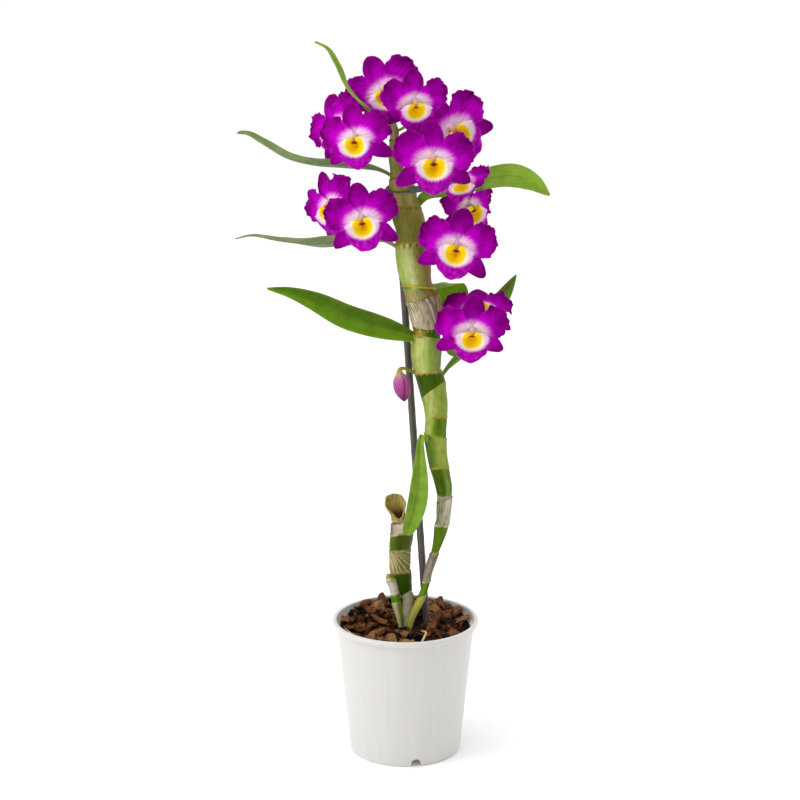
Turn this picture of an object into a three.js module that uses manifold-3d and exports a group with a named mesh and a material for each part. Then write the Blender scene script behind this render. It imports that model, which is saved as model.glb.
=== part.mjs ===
// A potted dendrobium orchid: two canes and a side shoot in bark, a support stake with its clip,
// leaves, blooms and a bud. Millimetres, +Z up, the origin at the centre of the
// pot's base on the surface that it stands on; -Y is the front.
import * as THREE from 'three';
import { mergeVertices } from 'three/addons/utils/BufferGeometryUtils.js';
import Module from 'manifold-3d';

const wasm = await Module();
wasm.setup();

const GAP = 0.3;

// ---- Pot ---------------------------------------------------------------------------------
const POT = { height: 112.5, rimRadius: 60, mouthRadius: 56.6, wallTop: 56.4, baseRadius: 45.6,
  wall: 1.5, floor: 2, rimHeight: 4.5, sides: 32 };
const DRAIN = { count: 3, firstAngle: -79, width: 8, height: 6.6, depth: 10, holeWidth: 4, holeHeight: 3 };

// ---- Bark --------------------------------------------------------------------------------
const BARK = { level: 102.2, slope: 0.12, chips: 25, seed: 41, spread: 50, strawRadius: 0.9,
  chipLeast: [7, 5, 3], chipMore: [11, 6, 3] };
const STRAWS = [
  [[-50, -7, 104.2], [-44.5, -15, 102.6], [-39, -24, 101]],
  [[13.4, -5, 103], [16.8, -15, 105], [15.2, -23, 104], [11.6, -33, 99.6]],
];

// ---- Stake and clip ------------------------------------------------------------------------
const STAKE = { foot: [23.5, 7, 14], top: [-8.2, 14.7, 484], radius: 2.85, sides: 10 };
const CLIP = { level: 468.9, height: 2.4, wall: 1.8, sides: 18,
  lugs: [{ at: [-14.6, -9, 469], size: [5.5, 4.5, 3.6], lean: 0 },
    { at: [8.5, -14.3, 471.6], size: [12, 4, 5], lean: -0.12 }] };

// ---- Canes: centre line and radius, from the root up, as [x, y, z, radius] -------------------
const CANE_MAIN = [
  [3, 3.8, 97.5, 2.3], [4.9, 2.6, 110, 2.6], [8.4, 2, 119.2, 3.2], [12.6, 1.4, 128.2, 3.4],
  [15.5, 1, 137, 2.9], [17, 0.6, 143, 2.9], [18.2, 0.2, 150, 2.5], [20.4, 0, 158.4, 2.8],
  [23.2, 0, 167, 2.9], [25.7, 0, 175.6, 3.7], [27.8, 0, 184.1, 4.9], [29.1, -0.4, 191, 5.7],
  [30.4, -0.6, 196, 5.1], [31.1, -1, 205.5, 5.2], [31.6, -1.2, 216, 5.7], [30.9, -1.4, 226.3, 6.7],
  [29, -1.6, 235, 7.2], [27.5, -1.8, 241.4, 7.7], [26.2, -2, 248, 7.8], [24.8, -2.4, 258, 8.2],
  [24, -2.6, 266.5, 8.8], [24.1, -2.8, 275, 8.7], [24.7, -3, 282.4, 8.7], [24.5, -3.2, 289, 9],
  [23.9, -3.3, 297, 9.6], [22, -3.4, 305.6, 10.5], [20.3, -3.5, 314.6, 11.3], [17.4, -3.5, 322.6, 10.7],
  [16.7, -3.5, 331, 11.4], [16.4, -3.6, 341, 12], [16.5, -3.6, 350.4, 11.2], [17, -3.7, 357.6, 10.9],
  [15.8, -3.8, 366.4, 11.6], [14.6, -3.9, 376, 12.3], [12.6, -4, 384.2, 13.2], [9.8, -4, 390.4, 11.6],
  [8, -3.9, 398.6, 11.8], [6.9, -3.8, 405.4, 13], [5.2, -3.6, 413.4, 12.6], [4, -3.4, 420.8, 12],
  [3.6, -3.2, 426, 11.4], [4.6, -3.1, 432.6, 11.7], [3.6, -3, 441, 11.8], [1.4, -2.9, 448.8, 12],
  [0.4, -2.9, 454.2, 11.1], [-2, -2.8, 461, 10.7], [-2.8, -2.8, 468.6, 10.5], [-4.8, -2.6, 474.6, 8.4],
  [-6.3, -2.2, 483, 6], [-8.8, -1.6, 495.6, 4.7], [-9.2, -1, 506.5, 3.6], [-9, -0.6, 515, 3.5],
  [-11, 0, 523.5, 2.4],
];
const CANE_CUT = [
  [-0.8, 10.4, 98.5, 2.8], [1.2, 13.4, 111.4, 3.4], [1.7, 14, 118, 3.7], [1.6, 14, 125.2, 4],
  [-0.2, 14, 131, 5.8], [-1.7, 14, 139, 6.9], [-2.6, 14, 145.6, 7.7], [-4, 14, 148.6, 8.2],
  [-4.4, 14, 157, 8.6], [-4.6, 14, 166, 8.8], [-3.9, 14, 173, 9.3], [-3, 14, 180, 9.5],
  [-3.8, 14, 187, 8.6], [-5, 14, 192, 7.4],
];
// The dry husk on the cut cane, outside and inside, as [x, y, z, radius].
const CUT_HUSK = {
  outside: [[-5, 14, 192.3, 6.9], [-6, 14, 196.3, 6.2], [-8, 13, 203.3, 8], [-8.4, 12, 210.5, 8.6],
    [-8.6, 12, 213.5, 7.4]],
  inside: [[-6, 14, 198.5, 3.4], [-8, 13, 204.5, 6.4], [-8.4, 12, 210.5, 7.4], [-8.6, 12, 214.5, 6.4]],
};
const SIDE_SHOOT = [
  [-3.6, 8, 98.6, 2.4], [-4.8, 6.2, 112, 2.8], [-6.4, 5.6, 119, 3.5], [-7.6, 5, 125.4, 3.9],
  [-8.6, 4.6, 131.5, 3.7], [-10.4, 4, 139.5, 3.4], [-12.2, 3.5, 143.6, 3.5], [-13.6, 3, 147, 2.8],
  [-14.4, 3, 150, 1.5],
];
const CANE_SIDES = 10;
// Papery sheaths that sleeve the main cane between two heights; `low` is the heading, in degrees,
// where the top edge is cut lowest.
const SHEATHS = [
  { name: 'papery_sheath_low', from: 144.6, to: 168, flare: 0.3, notch: 3, low: -90 },
  { name: 'papery_sheath_middle', from: 194, to: 217, flare: 0.3, notch: 5, low: 200 },
  { name: 'papery_sheath_upper', from: 359.5, to: 386, flare: 0.6, notch: 6, low: 200 },
];
const SHEATH = { wall: 0.6, clearance: 0.6 };

// ---- Rhizome and roots ---------------------------------------------------------------------
const RHIZOME = [[-4.4, 8.4, 97.6, 3.4], [-0.6, 10.4, 96.6, 4], [2, 6.8, 96, 4.4], [4.2, 2.4, 95.6, 3.6]];
const ROOTS = { count: 4, radius: 1.5, reach: 62, spread: 30, seed: 17 };

// ---- Leaves: midrib points, half width, share of it at the tip, and the roll of the blade about the
// midrib in degrees, at even steps from the base to the tip -----------------------------------------
const LEAVES = [
  { name: 'leaf_top', width: 6, roll: [-4, -12], fold: 0.25, peak: 0.45, tip: 0.06, tone: '#8fa33c',
    rib: [[-10.4, -0.6, 517], [-21, -9, 524.6], [-32, -18, 537], [-46, -22, 553], [-53.4, -21, 569],
      [-60, -18, 580.6], [-70, -14, 586]] },
  { name: 'leaf_upper_left', width: 10, roll: [32, 26], fold: 0.18, peak: 0.5, tip: 0.34, tone: '#6b8348',
    rib: [[-6, -1, 473], [-12, 0, 480], [-24, 4, 484.5], [-49, 9, 487], [-73, 11, 488], [-92, 11, 492.5],
      [-113, 10, 505], [-124, 9, 511.5], [-132.5, 8, 512.4]] },
  { name: 'leaf_middle_left', width: 11.5, roll: [34, 34, 34, 20, 8], fold: 0.16, peak: 0.45, tip: 0.2,
    tone: '#6a8249', rib: [[-3, -3, 420], [-10, -2, 425], [-22, 3, 428.4], [-49, 8, 426], [-75, 9, 424],
      [-100, 9, 426.6], [-122, 8, 430.6], [-135.5, 8, 428]] },
  { name: 'leaf_lower_left', width: 11.5, roll: [-40, -54], fold: 0.2, peak: 0.42, tip: 0.06, tone: '#4f7d12',
    rib: [[10, -7, 350], [-2, -9, 354], [-27, -9, 361], [-48, -8, 368], [-72, -6, 379.5], [-92, -5, 387],
      [-110, -4, 390.4]] },
  { name: 'leaf_upper_right', width: 11.5, roll: [34, 48], fold: 0.18, peak: 0.68, tip: 0.06, tone: '#6f9a2e',
    rib: [[6, -1, 453], [15, 4, 462.6], [27, 11, 465.4], [45, 15, 469.4], [66, 15, 474.8], [84, 12, 477],
      [100, 7, 473], [113.5, 2, 464]] },
  { name: 'leaf_right_drooping', width: 12.5, roll: [0, 0], fold: 0.15, peak: 0.4, tip: 0.5, tone: '#4c7a0c',
    side: [1, 0, 0], rib: [[18, 3, 386], [27, 15, 390], [35.4, 26, 386.6], [39.6, 31, 373], [41.6, 32, 356],
      [40.6, 31, 343], [38.6, 30, 331]] },
  { name: 'leaf_lower_right', width: 9.5, roll: [-62, -84], fold: 0.22, peak: 0.56, tip: 0.04,
    tone: '#5c8a24', rib: [[25, 0, 311], [33, 7, 321], [43.4, 13, 330.4], [57.4, 19, 344.6], [69.6, 23, 361],
      [79.6, 25, 378.6], [89, 24, 396]] },
  { name: 'leaf_front', width: 7.8, roll: [0, 0], fold: 0.28, peak: 0.6, tip: 0.5, tone: '#7ba038',
    side: [1, 0, 0], rib: [[19, -8, 265], [14, -13, 272], [12, -16, 268], [11.6, -17.4, 255],
      [11.4, -18, 238], [9.8, -18, 220], [6, -17.5, 204], [0.4, -17, 189.6]] },
];
const LEAF = { thickness: 0.9, steps: 11, across: 2, base: 0.24, wave: 0.7 };

// ---- Blooms: seat of the column, turn to the right, tilt up, roll, and where the stalk joins -----
const BLOOMS = [
  { name: 'bloom_top', at: [-17, 13, 545.6], turn: -6, tilt: 8, roll: 28, size: 1,
    joint: [-9.6, 0, 519], bend: [-4, 4, 6] },
  { name: 'bloom_top_front', at: [6.4, -24.4, 541.4], turn: 16, tilt: -14, roll: 2, size: 0.87,
    joint: [-9, 0, 514], bend: [4, 6, -6] },
  { name: 'bloom_upper_right', at: [36, 6, 515.6], turn: 14, tilt: 4, roll: 40, size: 1.06,
    joint: [-8.8, 0, 508], bend: [2, 8, -6] },
  { name: 'bloom_upper_left', at: [-38.4, -27, 514], turn: -16, tilt: 2, roll: 12, size: 0.92,
    joint: [-9, 0, 503], bend: [0, 10, -4] },
  { name: 'bloom_far_left', at: [-54, 11, 517], turn: -42, tilt: 6, roll: 32, size: 0.96,
    joint: [-9, 0, 499], bend: [10, 6, -8] },
  { name: 'bloom_middle', at: [21, -36.5, 498.6], turn: 5, tilt: 6, roll: 0, size: 1.02,
    joint: [-8.6, -1, 493], bend: [0, 10, -4] },
  { name: 'bloom_middle_right', at: [42.5, -9, 479.6], turn: 16, tilt: -34, roll: 0, size: 0.76,
    joint: [-8, 0, 487], bend: [-4, 2, 6] },
  { name: 'bloom_left', at: [-34, -24, 450], turn: -4, tilt: 4, roll: 12, size: 0.96,
    joint: [-4, -2, 456], bend: [2, 8, 6] },
  { name: 'bloom_left_outer', at: [-59, 6, 456], turn: -44, tilt: -4, roll: 30, size: 0.95,
    joint: [-4, -2, 453], bend: [6, 6, 2] },
  { name: 'bloom_right_behind', at: [50, 27.6, 450.4], turn: 44, tilt: 6, roll: -4, size: 0.92,
    joint: [6, -2, 431], bend: [-4, 2, -6] },
  { name: 'bloom_right', at: [40, -25, 429], turn: -2, tilt: 4, roll: -10, size: 1,
    joint: [8, -4, 428], bend: [-2, 10, 2] },
  { name: 'bloom_lowest', at: [52, -30, 362.5], turn: 4, tilt: -8, roll: -4, size: 0.95,
    joint: [22, -3.6, 360], bend: [-4, 10, 2] },
  { name: 'bloom_lowest_behind', at: [58, 7, 371], turn: 4, tilt: 54, roll: 0, size: 0.9,
    joint: [22, -2.6, 364], bend: [-2, 2, -2] },
];
const SEPAL = { tip: 0.52, round: 0.1, depth: -2.6, rise: 1.2, recurve: 3.4, ruffle: 0, waves: 1,
  steps: 4, across: 2 };
const SEPALS = [{ angle: 90, root: 0.8, length: 28.4, width: 9.4 },
  { angle: 215, root: 2.4, length: 31.4, width: 7.4 }, { angle: 325, root: 2.4, length: 31.4, width: 7.4 }];
const PETAL = { tip: 0.55, round: 0.13, depth: 0.6, rise: 1.4, recurve: 2, ruffle: 2.2, waves: 4.5,
  steps: 4, across: 4 };
const PETALS = [{ angle: 20, root: 2.8, length: 28.8, width: 14 },
  { angle: 160, root: 2.8, length: 28.8, width: 14 }];
const HEART = { centre: [0, -2.6, -0.6], size: [5.6, 8, 5.6] };
const LIP = { centre: [0, -6.5, 1.3], halfWidth: 15.5, below: 19.5, above: 8, notch: 3.4, bowl: 8.2,
  flare: 2.6, ruffle: 1.4, waves: 4, rings: 3, spokes: 8 };
const COLUMN = { length: 7.5, radius: 2.3, sides: 5 };
const STALK = { radius: 1.3, tail: 11, sides: 4, steps: 5 };
const PETAL_THICKNESS = 0.8;
const BUD = { seat: [-5.4, -12.8, 324.4], tip: [-1.2, -13, 300.4], radius: 7, sides: 8,
  arch: [2, -9, 325.4], joint: [9, -4, 320.5], stalkRadius: 1.5 };

// ---- Materials -------------------------------------------------------------------------------
const finish = (color, roughness) => new THREE.MeshStandardMaterial({ color, roughness, metalness: 0 });
const MATERIALS = {
  pot: finish('#e9e7e2', 0.45),
  bark: finish('#6d4526', 0.95),
  root: finish('#b9a46c', 0.85),
  cane: finish('#7d962f', 0.5),
  husk: finish('#b6a070', 0.85),
  papery: finish('#bdb294', 0.8),
  stake: finish('#3c4046', 0.5),
  clip: finish('#2e3234', 0.45),
  bloom: finish('#a500ad', 0.6),
  bud: finish('#9a3f97', 0.55),
};

const plant = new THREE.Group();

// ---- Solids ----------------------------------------------------------------------------------
function toSolid(geometry) {
  const bare = geometry.clone();
  bare.deleteAttribute('normal');
  bare.deleteAttribute('uv');
  const merged = mergeVertices(bare, 1e-4);
  return new wasm.Manifold(new wasm.Mesh({
    numProp: 3,
    vertProperties: new Float32Array(merged.attributes.position.array),
    triVerts: new Uint32Array(merged.index.array),
  }));
}

function toGeometry(solid) {
  const mesh = solid.getMesh();
  const geometry = new THREE.BufferGeometry();
  geometry.setAttribute('position', new THREE.BufferAttribute(new Float32Array(mesh.vertProperties), 3));
  geometry.setIndex(new THREE.BufferAttribute(new Uint32Array(mesh.triVerts), 1));
  return geometry;
}

function addPart(name, solid, material) {
  const mesh = new THREE.Mesh(toGeometry(solid), material);
  mesh.name = name;
  plant.add(mesh);
}

const join = (solids) => solids.reduce((sum, next) => sum.add(next));
const vector = (point) => new THREE.Vector3(point[0], point[1], point[2]);

// A seeded draw in 0..1, the same on every run.
function drawFrom(seed) {
  let state = seed;
  return () => {
    state = (state * 16807) % 2147483647;
    return state / 2147483647;
  };
}

function meshFrom(points, faces) {
  const geometry = new THREE.BufferGeometry();
  const flat = points.flatMap((p) => [p.x, p.y, p.z]);
  geometry.setAttribute('position', new THREE.Float32BufferAttribute(flat, 3));
  geometry.setIndex(faces);
  return geometry;
}

// A round limb through [x, y, z, radius] rings, with every ring square to the centre line.
function limb(rings, sides, extra = 0) {
  const points = [];
  const faces = [];
  const centres = rings.map(vector);
  let side = new THREE.Vector3(1, 0, 0);
  rings.forEach((ring, i) => {
    const ahead = centres[Math.min(i + 1, rings.length - 1)];
    const behind = centres[Math.max(i - 1, 0)];
    const along = ahead.clone().sub(behind).normalize();
    side = side.clone().addScaledVector(along, -side.dot(along)).normalize();
    const other = along.clone().cross(side);
    for (let k = 0; k < sides; k += 1) {
      const angle = (2 * Math.PI * k) / sides;
      const radius = ring[3] + extra;
      points.push(centres[i].clone()
        .addScaledVector(side, radius * Math.cos(angle))
        .addScaledVector(other, radius * Math.sin(angle)));
    }
  });
  for (let i = 0; i + 1 < rings.length; i += 1) {
    for (let k = 0; k < sides; k += 1) {
      const a = i * sides + k;
      const b = i * sides + ((k + 1) % sides);
      faces.push(a, b, b + sides, a, b + sides, a + sides);
    }
  }
  const last = (rings.length - 1) * sides;
  for (let k = 1; k + 1 < sides; k += 1) {
    faces.push(0, k + 1, k);
    faces.push(last, last + k, last + k + 1);
  }
  return toSolid(meshFrom(points, faces));
}

// A thin blade: both faces of a surface at(u, v), u from 0 to 1 along and v from -1 to 1 across,
// with a rim between them. Both faces are split into triangles alike.
function blade(at, steps, across, thickness) {
  const columns = across + 1;
  const middle = [];
  for (let i = 0; i <= steps; i += 1) {
    for (let j = 0; j <= across; j += 1) middle.push(at(i / steps, (2 * j) / across - 1));
  }
  const spot = (i, j) => middle[i * columns + j];
  const front = [];
  const back = [];
  for (let i = 0; i <= steps; i += 1) {
    for (let j = 0; j <= across; j += 1) {
      const along = spot(Math.min(i + 1, steps), j).clone().sub(spot(Math.max(i - 1, 0), j));
      const over = spot(i, Math.min(j + 1, across)).clone().sub(spot(i, Math.max(j - 1, 0)));
      const normal = along.cross(over).normalize().multiplyScalar(thickness / 2);
      front.push(spot(i, j).clone().add(normal));
      back.push(spot(i, j).clone().sub(normal));
    }
  }
  const offset = middle.length;
  const faces = [];
  for (let i = 0; i < steps; i += 1) {
    for (let j = 0; j < across; j += 1) {
      const a = i * columns + j;
      const b = a + 1;
      const c = a + columns;
      const d = c + 1;
      faces.push(a, c, d, a, d, b);
      faces.push(a + offset, d + offset, c + offset, a + offset, b + offset, d + offset);
    }
  }
  const rim = [];
  for (let j = 0; j < across; j += 1) rim.push(j);
  for (let i = 0; i < steps; i += 1) rim.push(i * columns + across);
  for (let j = across; j > 0; j -= 1) rim.push(steps * columns + j);
  for (let i = steps; i > 0; i -= 1) rim.push(i * columns);
  rim.forEach((a, k) => {
    const b = rim[(k + 1) % rim.length];
    faces.push(a, b, b + offset, a, b + offset, a + offset);
  });
  return toSolid(meshFrom([...front, ...back], faces));
}

// How wide a blade is along its length: from base share to full at peak, then to the tip share.
function outline(u, base, peak, tip) {
  if (u < peak) return base + (1 - base) * Math.sin((Math.PI / 2) * (u / peak)) ** 1.3;
  return tip + (1 - tip) * Math.cos((Math.PI / 2) * ((u - peak) / (1 - peak))) ** 0.9;
}

// The value at a share from 0 to 1 of a row of values at even steps.
function evenly(values, share) {
  const i = Math.min(Math.floor(share * (values.length - 1)), values.length - 2);
  return values[i] + (values[i + 1] - values[i]) * (share * (values.length - 1) - i);
}

// ---- Pot ---------------------------------------------------------------------------------------
const wallSlope = (POT.wallTop - POT.baseRadius) / (POT.height - POT.rimHeight);
const wallRadiusAt = (z) => POT.baseRadius + wallSlope * z;

function potOuter() {
  const rimFoot = POT.height - POT.rimHeight;
  return [[0, 0], [POT.baseRadius - 1.7, 0], [POT.baseRadius - 0.5, 0.5], [wallRadiusAt(2.2), 2.2],
    [wallRadiusAt(rimFoot - 1), rimFoot - 1], [POT.rimRadius - 0.6, rimFoot + 0.2],
    [POT.rimRadius, rimFoot + 1], [POT.rimRadius, POT.height - 1.2], [POT.rimRadius - 1.2, POT.height]];
}

function buildPot() {
  const insideAt = (z) => wallRadiusAt(z) - POT.wall;
  const underRim = POT.height - POT.rimHeight - 2;
  const inner = [[POT.mouthRadius + 0.4, POT.height], [POT.mouthRadius, POT.height - 0.8],
    [insideAt(underRim), underRim], [insideAt(POT.floor + 2), POT.floor + 2],
    [insideAt(POT.floor) - 1.6, POT.floor], [0, POT.floor]];
  const profile = [...potOuter(), ...inner].map(([r, z]) => new THREE.Vector2(r, z));
  const lathe = new THREE.LatheGeometry(profile, POT.sides);
  lathe.rotateX(Math.PI / 2);
  let pot = toSolid(lathe);
  drainPockets(POT.wall, -0.65, 1.6).forEach((pocket) => { pot = pot.add(pocket); });
  drainPockets(0, 4, -2).forEach((pocket) => { pot = pot.subtract(pocket); });
  drainHoles().forEach((hole) => { pot = pot.subtract(hole); });
  return pot;
}

// Arched drain pockets at the foot of the wall; `skin` thickens them, `past` is how far they reach
// beyond the base radius, and `foot` is the level that they start from.
function drainPockets(skin, past, foot) {
  const half = DRAIN.width / 2 + skin;
  const spring = DRAIN.height - DRAIN.width / 2;
  const arch = new THREE.Shape();
  arch.moveTo(-half, foot);
  arch.lineTo(half, foot);
  arch.lineTo(half, spring);
  arch.absarc(0, spring, half, 0, Math.PI, false);
  arch.closePath();
  const start = POT.baseRadius - DRAIN.depth - skin;
  const length = DRAIN.depth + skin + past;
  return drainAngles().map((angle) => {
    const block = new THREE.ExtrudeGeometry(arch, { depth: length, bevelEnabled: false, curveSegments: 4 });
    block.rotateX(Math.PI / 2);
    block.rotateZ(Math.PI);
    block.translate(0, start, 0);
    block.rotateZ(angle - Math.PI / 2);
    return toSolid(block);
  });
}

function drainHoles() {
  return drainAngles().map((angle) => {
    const hole = new THREE.BoxGeometry(6, DRAIN.holeWidth, DRAIN.holeHeight);
    hole.translate(POT.baseRadius - DRAIN.depth - 1, 0, POT.floor + DRAIN.holeHeight / 2 + 0.4);
    hole.rotateZ(angle);
    return toSolid(hole);
  });
}

function drainAngles() {
  const turns = Array.from({ length: DRAIN.count }, (_, i) => DRAIN.firstAngle + (360 * i) / DRAIN.count);
  return turns.map((degrees) => (degrees * Math.PI) / 180);
}

// ---- Bark ----------------------------------------------------------------------------------------
const barkLevelAt = (y) => BARK.level + BARK.slope * y;

// The growing medium under the chips, with its top a little higher at the back than in front.
function barkFill() {
  const top = BARK.level + 7;
  const topRadius = wallRadiusAt(top) - POT.wall - GAP;
  const footRadius = wallRadiusAt(POT.floor) - POT.wall - GAP - 1.8;
  const profile = [[0, POT.floor + GAP], [footRadius, POT.floor + GAP], [footRadius + 1.6, POT.floor + 2.2],
    [topRadius, top], [0, top]];
  const fill = new THREE.LatheGeometry(profile.map(([r, z]) => new THREE.Vector2(r, z)), POT.sides);
  fill.rotateX(Math.PI / 2);
  const down = new THREE.Vector3(0, BARK.slope, -1);
  const steep = down.length();
  return toSolid(fill).trimByPlane(down.divideScalar(steep).toArray(), -BARK.level / steep);
}

// One chip: a split block with unequal ends, laid flat or on edge and half sunk in the fill.
function barkChip(draw) {
  const radius = BARK.spread * Math.sqrt(draw());
  const heading = 2 * Math.PI * draw();
  const size = BARK.chipLeast.map((least, k) => least + BARK.chipMore[k] * draw());
  const chip = new THREE.BoxGeometry(...size);
  const position = chip.attributes.position;
  const squeeze = 0.55 + 0.4 * draw();
  const skew = 0.3 * draw();
  for (let i = 0; i < position.count; i += 1) {
    if (position.getX(i) > 0) {
      position.setY(i, position.getY(i) * squeeze);
      position.setZ(i, position.getZ(i) * (squeeze + 0.2));
    } else {
      position.setX(i, position.getX(i) + skew * position.getY(i));
    }
  }
  chip.rotateX((draw() - 0.5) * 1.3);
  chip.rotateY((draw() - 0.5) * 0.9);
  chip.rotateZ(2 * Math.PI * draw());
  const x = radius * Math.cos(heading);
  const y = radius * Math.sin(heading);
  chip.translate(x, y, barkLevelAt(y) + 0.6 + 1.6 * draw());
  return toSolid(chip);
}

function buildBark(keepClear) {
  const draw = drawFrom(BARK.seed);
  const pieces = [barkFill()];
  for (let i = 0; i < BARK.chips; i += 1) pieces.push(barkChip(draw));
  STRAWS.forEach((straw) => pieces.push(limb(straw.map((p) => [...p, BARK.strawRadius]), 5)));
  let bark = join(pieces);
  const room = [[0, -1], [wallRadiusAt(-1) - POT.wall - GAP, -1],
    [wallRadiusAt(POT.height) - POT.wall - GAP, POT.height], [50, POT.height + 12], [0, POT.height + 12]];
  const roomShape = new THREE.LatheGeometry(room.map(([r, z]) => new THREE.Vector2(r, z)), POT.sides);
  roomShape.rotateX(Math.PI / 2);
  bark = bark.intersect(toSolid(roomShape));
  drainPockets(POT.wall + GAP, 4, 0).forEach((pocket) => { bark = bark.subtract(pocket); });
  keepClear.forEach((thing) => { bark = bark.subtract(thing); });
  return largest(bark);
}

// The biggest body of a solid, without the crumbs that a cut may leave.
function largest(solid) {
  const bodies = solid.decompose();
  return bodies.reduce((best, next) => (next.volume() > best.volume() ? next : best));
}

// ---- Canes, rhizome, stake and clip ------------------------------------------------------------------
// The rhizome just under the bark with its roots; `extra` thickens them to cut their room.
function buildRoots(extra) {
  const draw = drawFrom(ROOTS.seed);
  const parts = [limb(RHIZOME, 7, extra)];
  for (let i = 0; i < ROOTS.count; i += 1) {
    const heading = (2 * Math.PI * (i + 0.6 * draw())) / ROOTS.count;
    const from = RHIZOME[1 + (i % 2)];
    const out = ROOTS.spread * (0.5 + 0.5 * draw());
    const reach = ROOTS.reach * (0.6 + 0.4 * draw());
    const ends = [0, 0.35, 0.7, 1].map((t) => [
      from[0] + out * Math.sin(t * 1.4) * Math.cos(heading + 0.5 * t),
      from[1] + out * Math.sin(t * 1.4) * Math.sin(heading + 0.5 * t),
      from[2] - 1 - reach * t * t ** 0.3,
      ROOTS.radius * (1 - 0.35 * t),
    ]);
    parts.push(limb(ends, 4, extra));
  }
  return join(parts);
}

function stakeRings() {
  const foot = STAKE.foot;
  const top = STAKE.top;
  return [[...foot.slice(0, 2), foot[2] - 8, 0.6], [...foot, STAKE.radius], [...top, STAKE.radius],
    [top[0] - 0.1, top[1], top[2] + 1.5, STAKE.radius * 0.5]];
}

function stakeAt(z) {
  const t = (z - STAKE.foot[2]) / (STAKE.top[2] - STAKE.foot[2]);
  return [0, 1].map((k) => STAKE.foot[k] + t * (STAKE.top[k] - STAKE.foot[k]));
}

// The ring of a limb at a height, between its two nearest rings.
function ringAt(rings, z) {
  const i = Math.max(1, rings.findIndex((ring) => ring[2] >= z));
  const [a, b] = [rings[i - 1], rings[i]];
  const t = (z - a[2]) / (b[2] - a[2]);
  return a.map((value, k) => value + t * (b[k] - value));
}

// A band that holds the cane to the stake: an egg-shaped loop round both, with a lug at each side.
function buildClip() {
  const cane = ringAt(CANE_MAIN, CLIP.level);
  const post = stakeAt(CLIP.level);
  const loop = (grow) => {
    const shape = [];
    for (let k = 0; k < CLIP.sides; k += 1) {
      const angle = (2 * Math.PI * k) / CLIP.sides;
      const reach = [cane, [...post, 0, STAKE.radius]].map((c) =>
        c[0] * Math.cos(angle) + c[1] * Math.sin(angle) + c[3] + grow);
      shape.push([angle, Math.max(...reach)]);
    }
    // Corners of the outline that both circles' tangents enclose.
    return shape.map(([a, r], k) => {
      const [b, s] = shape[(k + 1) % shape.length];
      const x = r * Math.sin(b) - s * Math.sin(a);
      const y = s * Math.cos(a) - r * Math.cos(b);
      return new THREE.Vector2(x, y).divideScalar(Math.sin(b - a));
    });
  };
  const ring = new THREE.Shape(loop(GAP + CLIP.wall));
  ring.holes.push(new THREE.Path(loop(GAP)));
  const band = new THREE.ExtrudeGeometry(ring, { depth: CLIP.height, bevelEnabled: false });
  band.translate(0, 0, CLIP.level);
  const lugs = CLIP.lugs.map(({ at, size, lean }) => {
    const lug = new THREE.BoxGeometry(...size);
    lug.rotateY(lean);
    lug.translate(...at);
    return toSolid(lug);
  });
  return join([toSolid(band), ...lugs]);
}

// A papery sheath: a sleeve that follows the cane, with its top edge cut lower on one side.
function buildSheath(sheath) {
  const joints = CANE_MAIN.map((ring) => ring[2]).filter((z) => z > sheath.from && z < sheath.to);
  const levels = [sheath.from, ...joints, sheath.to];
  const rows = levels.length - 1;
  const sides = CANE_SIDES;
  const points = [];
  const faces = [];
  [SHEATH.clearance, SHEATH.clearance + SHEATH.wall].forEach((off) => {
    for (let i = 0; i <= rows; i += 1) {
      for (let k = 0; k < sides; k += 1) {
        const angle = (2 * Math.PI * (k + 0.5)) / sides;
        const lowness = Math.cos(angle - (sheath.low * Math.PI) / 180);
        const share = (levels[i] - sheath.from) / (sheath.to - sheath.from);
        const z = levels[i] - share * sheath.notch * Math.max(0, lowness);
        const cane = ringAt(CANE_MAIN, z);
        const radius = (cane[3] + off) / Math.cos(Math.PI / sides) + sheath.flare * share ** 2;
        const reach = [radius * Math.cos(angle), radius * Math.sin(angle)];
        points.push(new THREE.Vector3(cane[0] + reach[0], cane[1] + reach[1], z));
      }
    }
  });
  const shift = (rows + 1) * sides;
  for (let i = 0; i < rows; i += 1) {
    for (let k = 0; k < sides; k += 1) {
      const a = i * sides + k;
      const b = i * sides + ((k + 1) % sides);
      const [c, d] = [a + sides, b + sides];
      faces.push(a, d, b, a, c, d);
      faces.push(a + shift, b + shift, d + shift, a + shift, d + shift, c + shift);
    }
  }
  for (let k = 0; k < sides; k += 1) {
    const b = (k + 1) % sides;
    const top = rows * sides;
    faces.push(k, b, b + shift, k, b + shift, k + shift);
    faces.push(top + k, top + b + shift, top + b, top + k, top + k + shift, top + b + shift);
  }
  return toSolid(meshFrom(points, faces));
}

// ---- Leaves --------------------------------------------------------------------------------------
// A leaf follows its midrib; the blade lies level across it, rolled about the rib, and is folded
// up a little along the rib with a slow wave in its margins.
function buildLeaf(leaf, extra) {
  const rib = new THREE.CatmullRomCurve3(leaf.rib.map(vector), false, 'centripetal');
  const at = (u, v) => {
    const centre = rib.getPointAt(u);
    const along = rib.getTangentAt(u);
    const level = leaf.side ? vector(leaf.side) : new THREE.Vector3(0, 0, 1).cross(along);
    const across = level.addScaledVector(along, -level.dot(along)).normalize();
    across.applyAxisAngle(along, (evenly(leaf.roll, u) * Math.PI) / 180);
    const up = along.clone().cross(across);
    const half = leaf.width * outline(u, LEAF.base, leaf.peak, leaf.tip);
    const wave = LEAF.wave * Math.sin(9 * u + (v > 0 ? 0 : 1.7)) * Math.sin(Math.PI * u);
    const lift = (leaf.fold * half + wave) * Math.abs(v);
    return centre.clone().addScaledVector(across, half * v).addScaledVector(up, lift);
  };
  return blade(at, LEAF.steps, LEAF.across, LEAF.thickness + extra);
}

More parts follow.
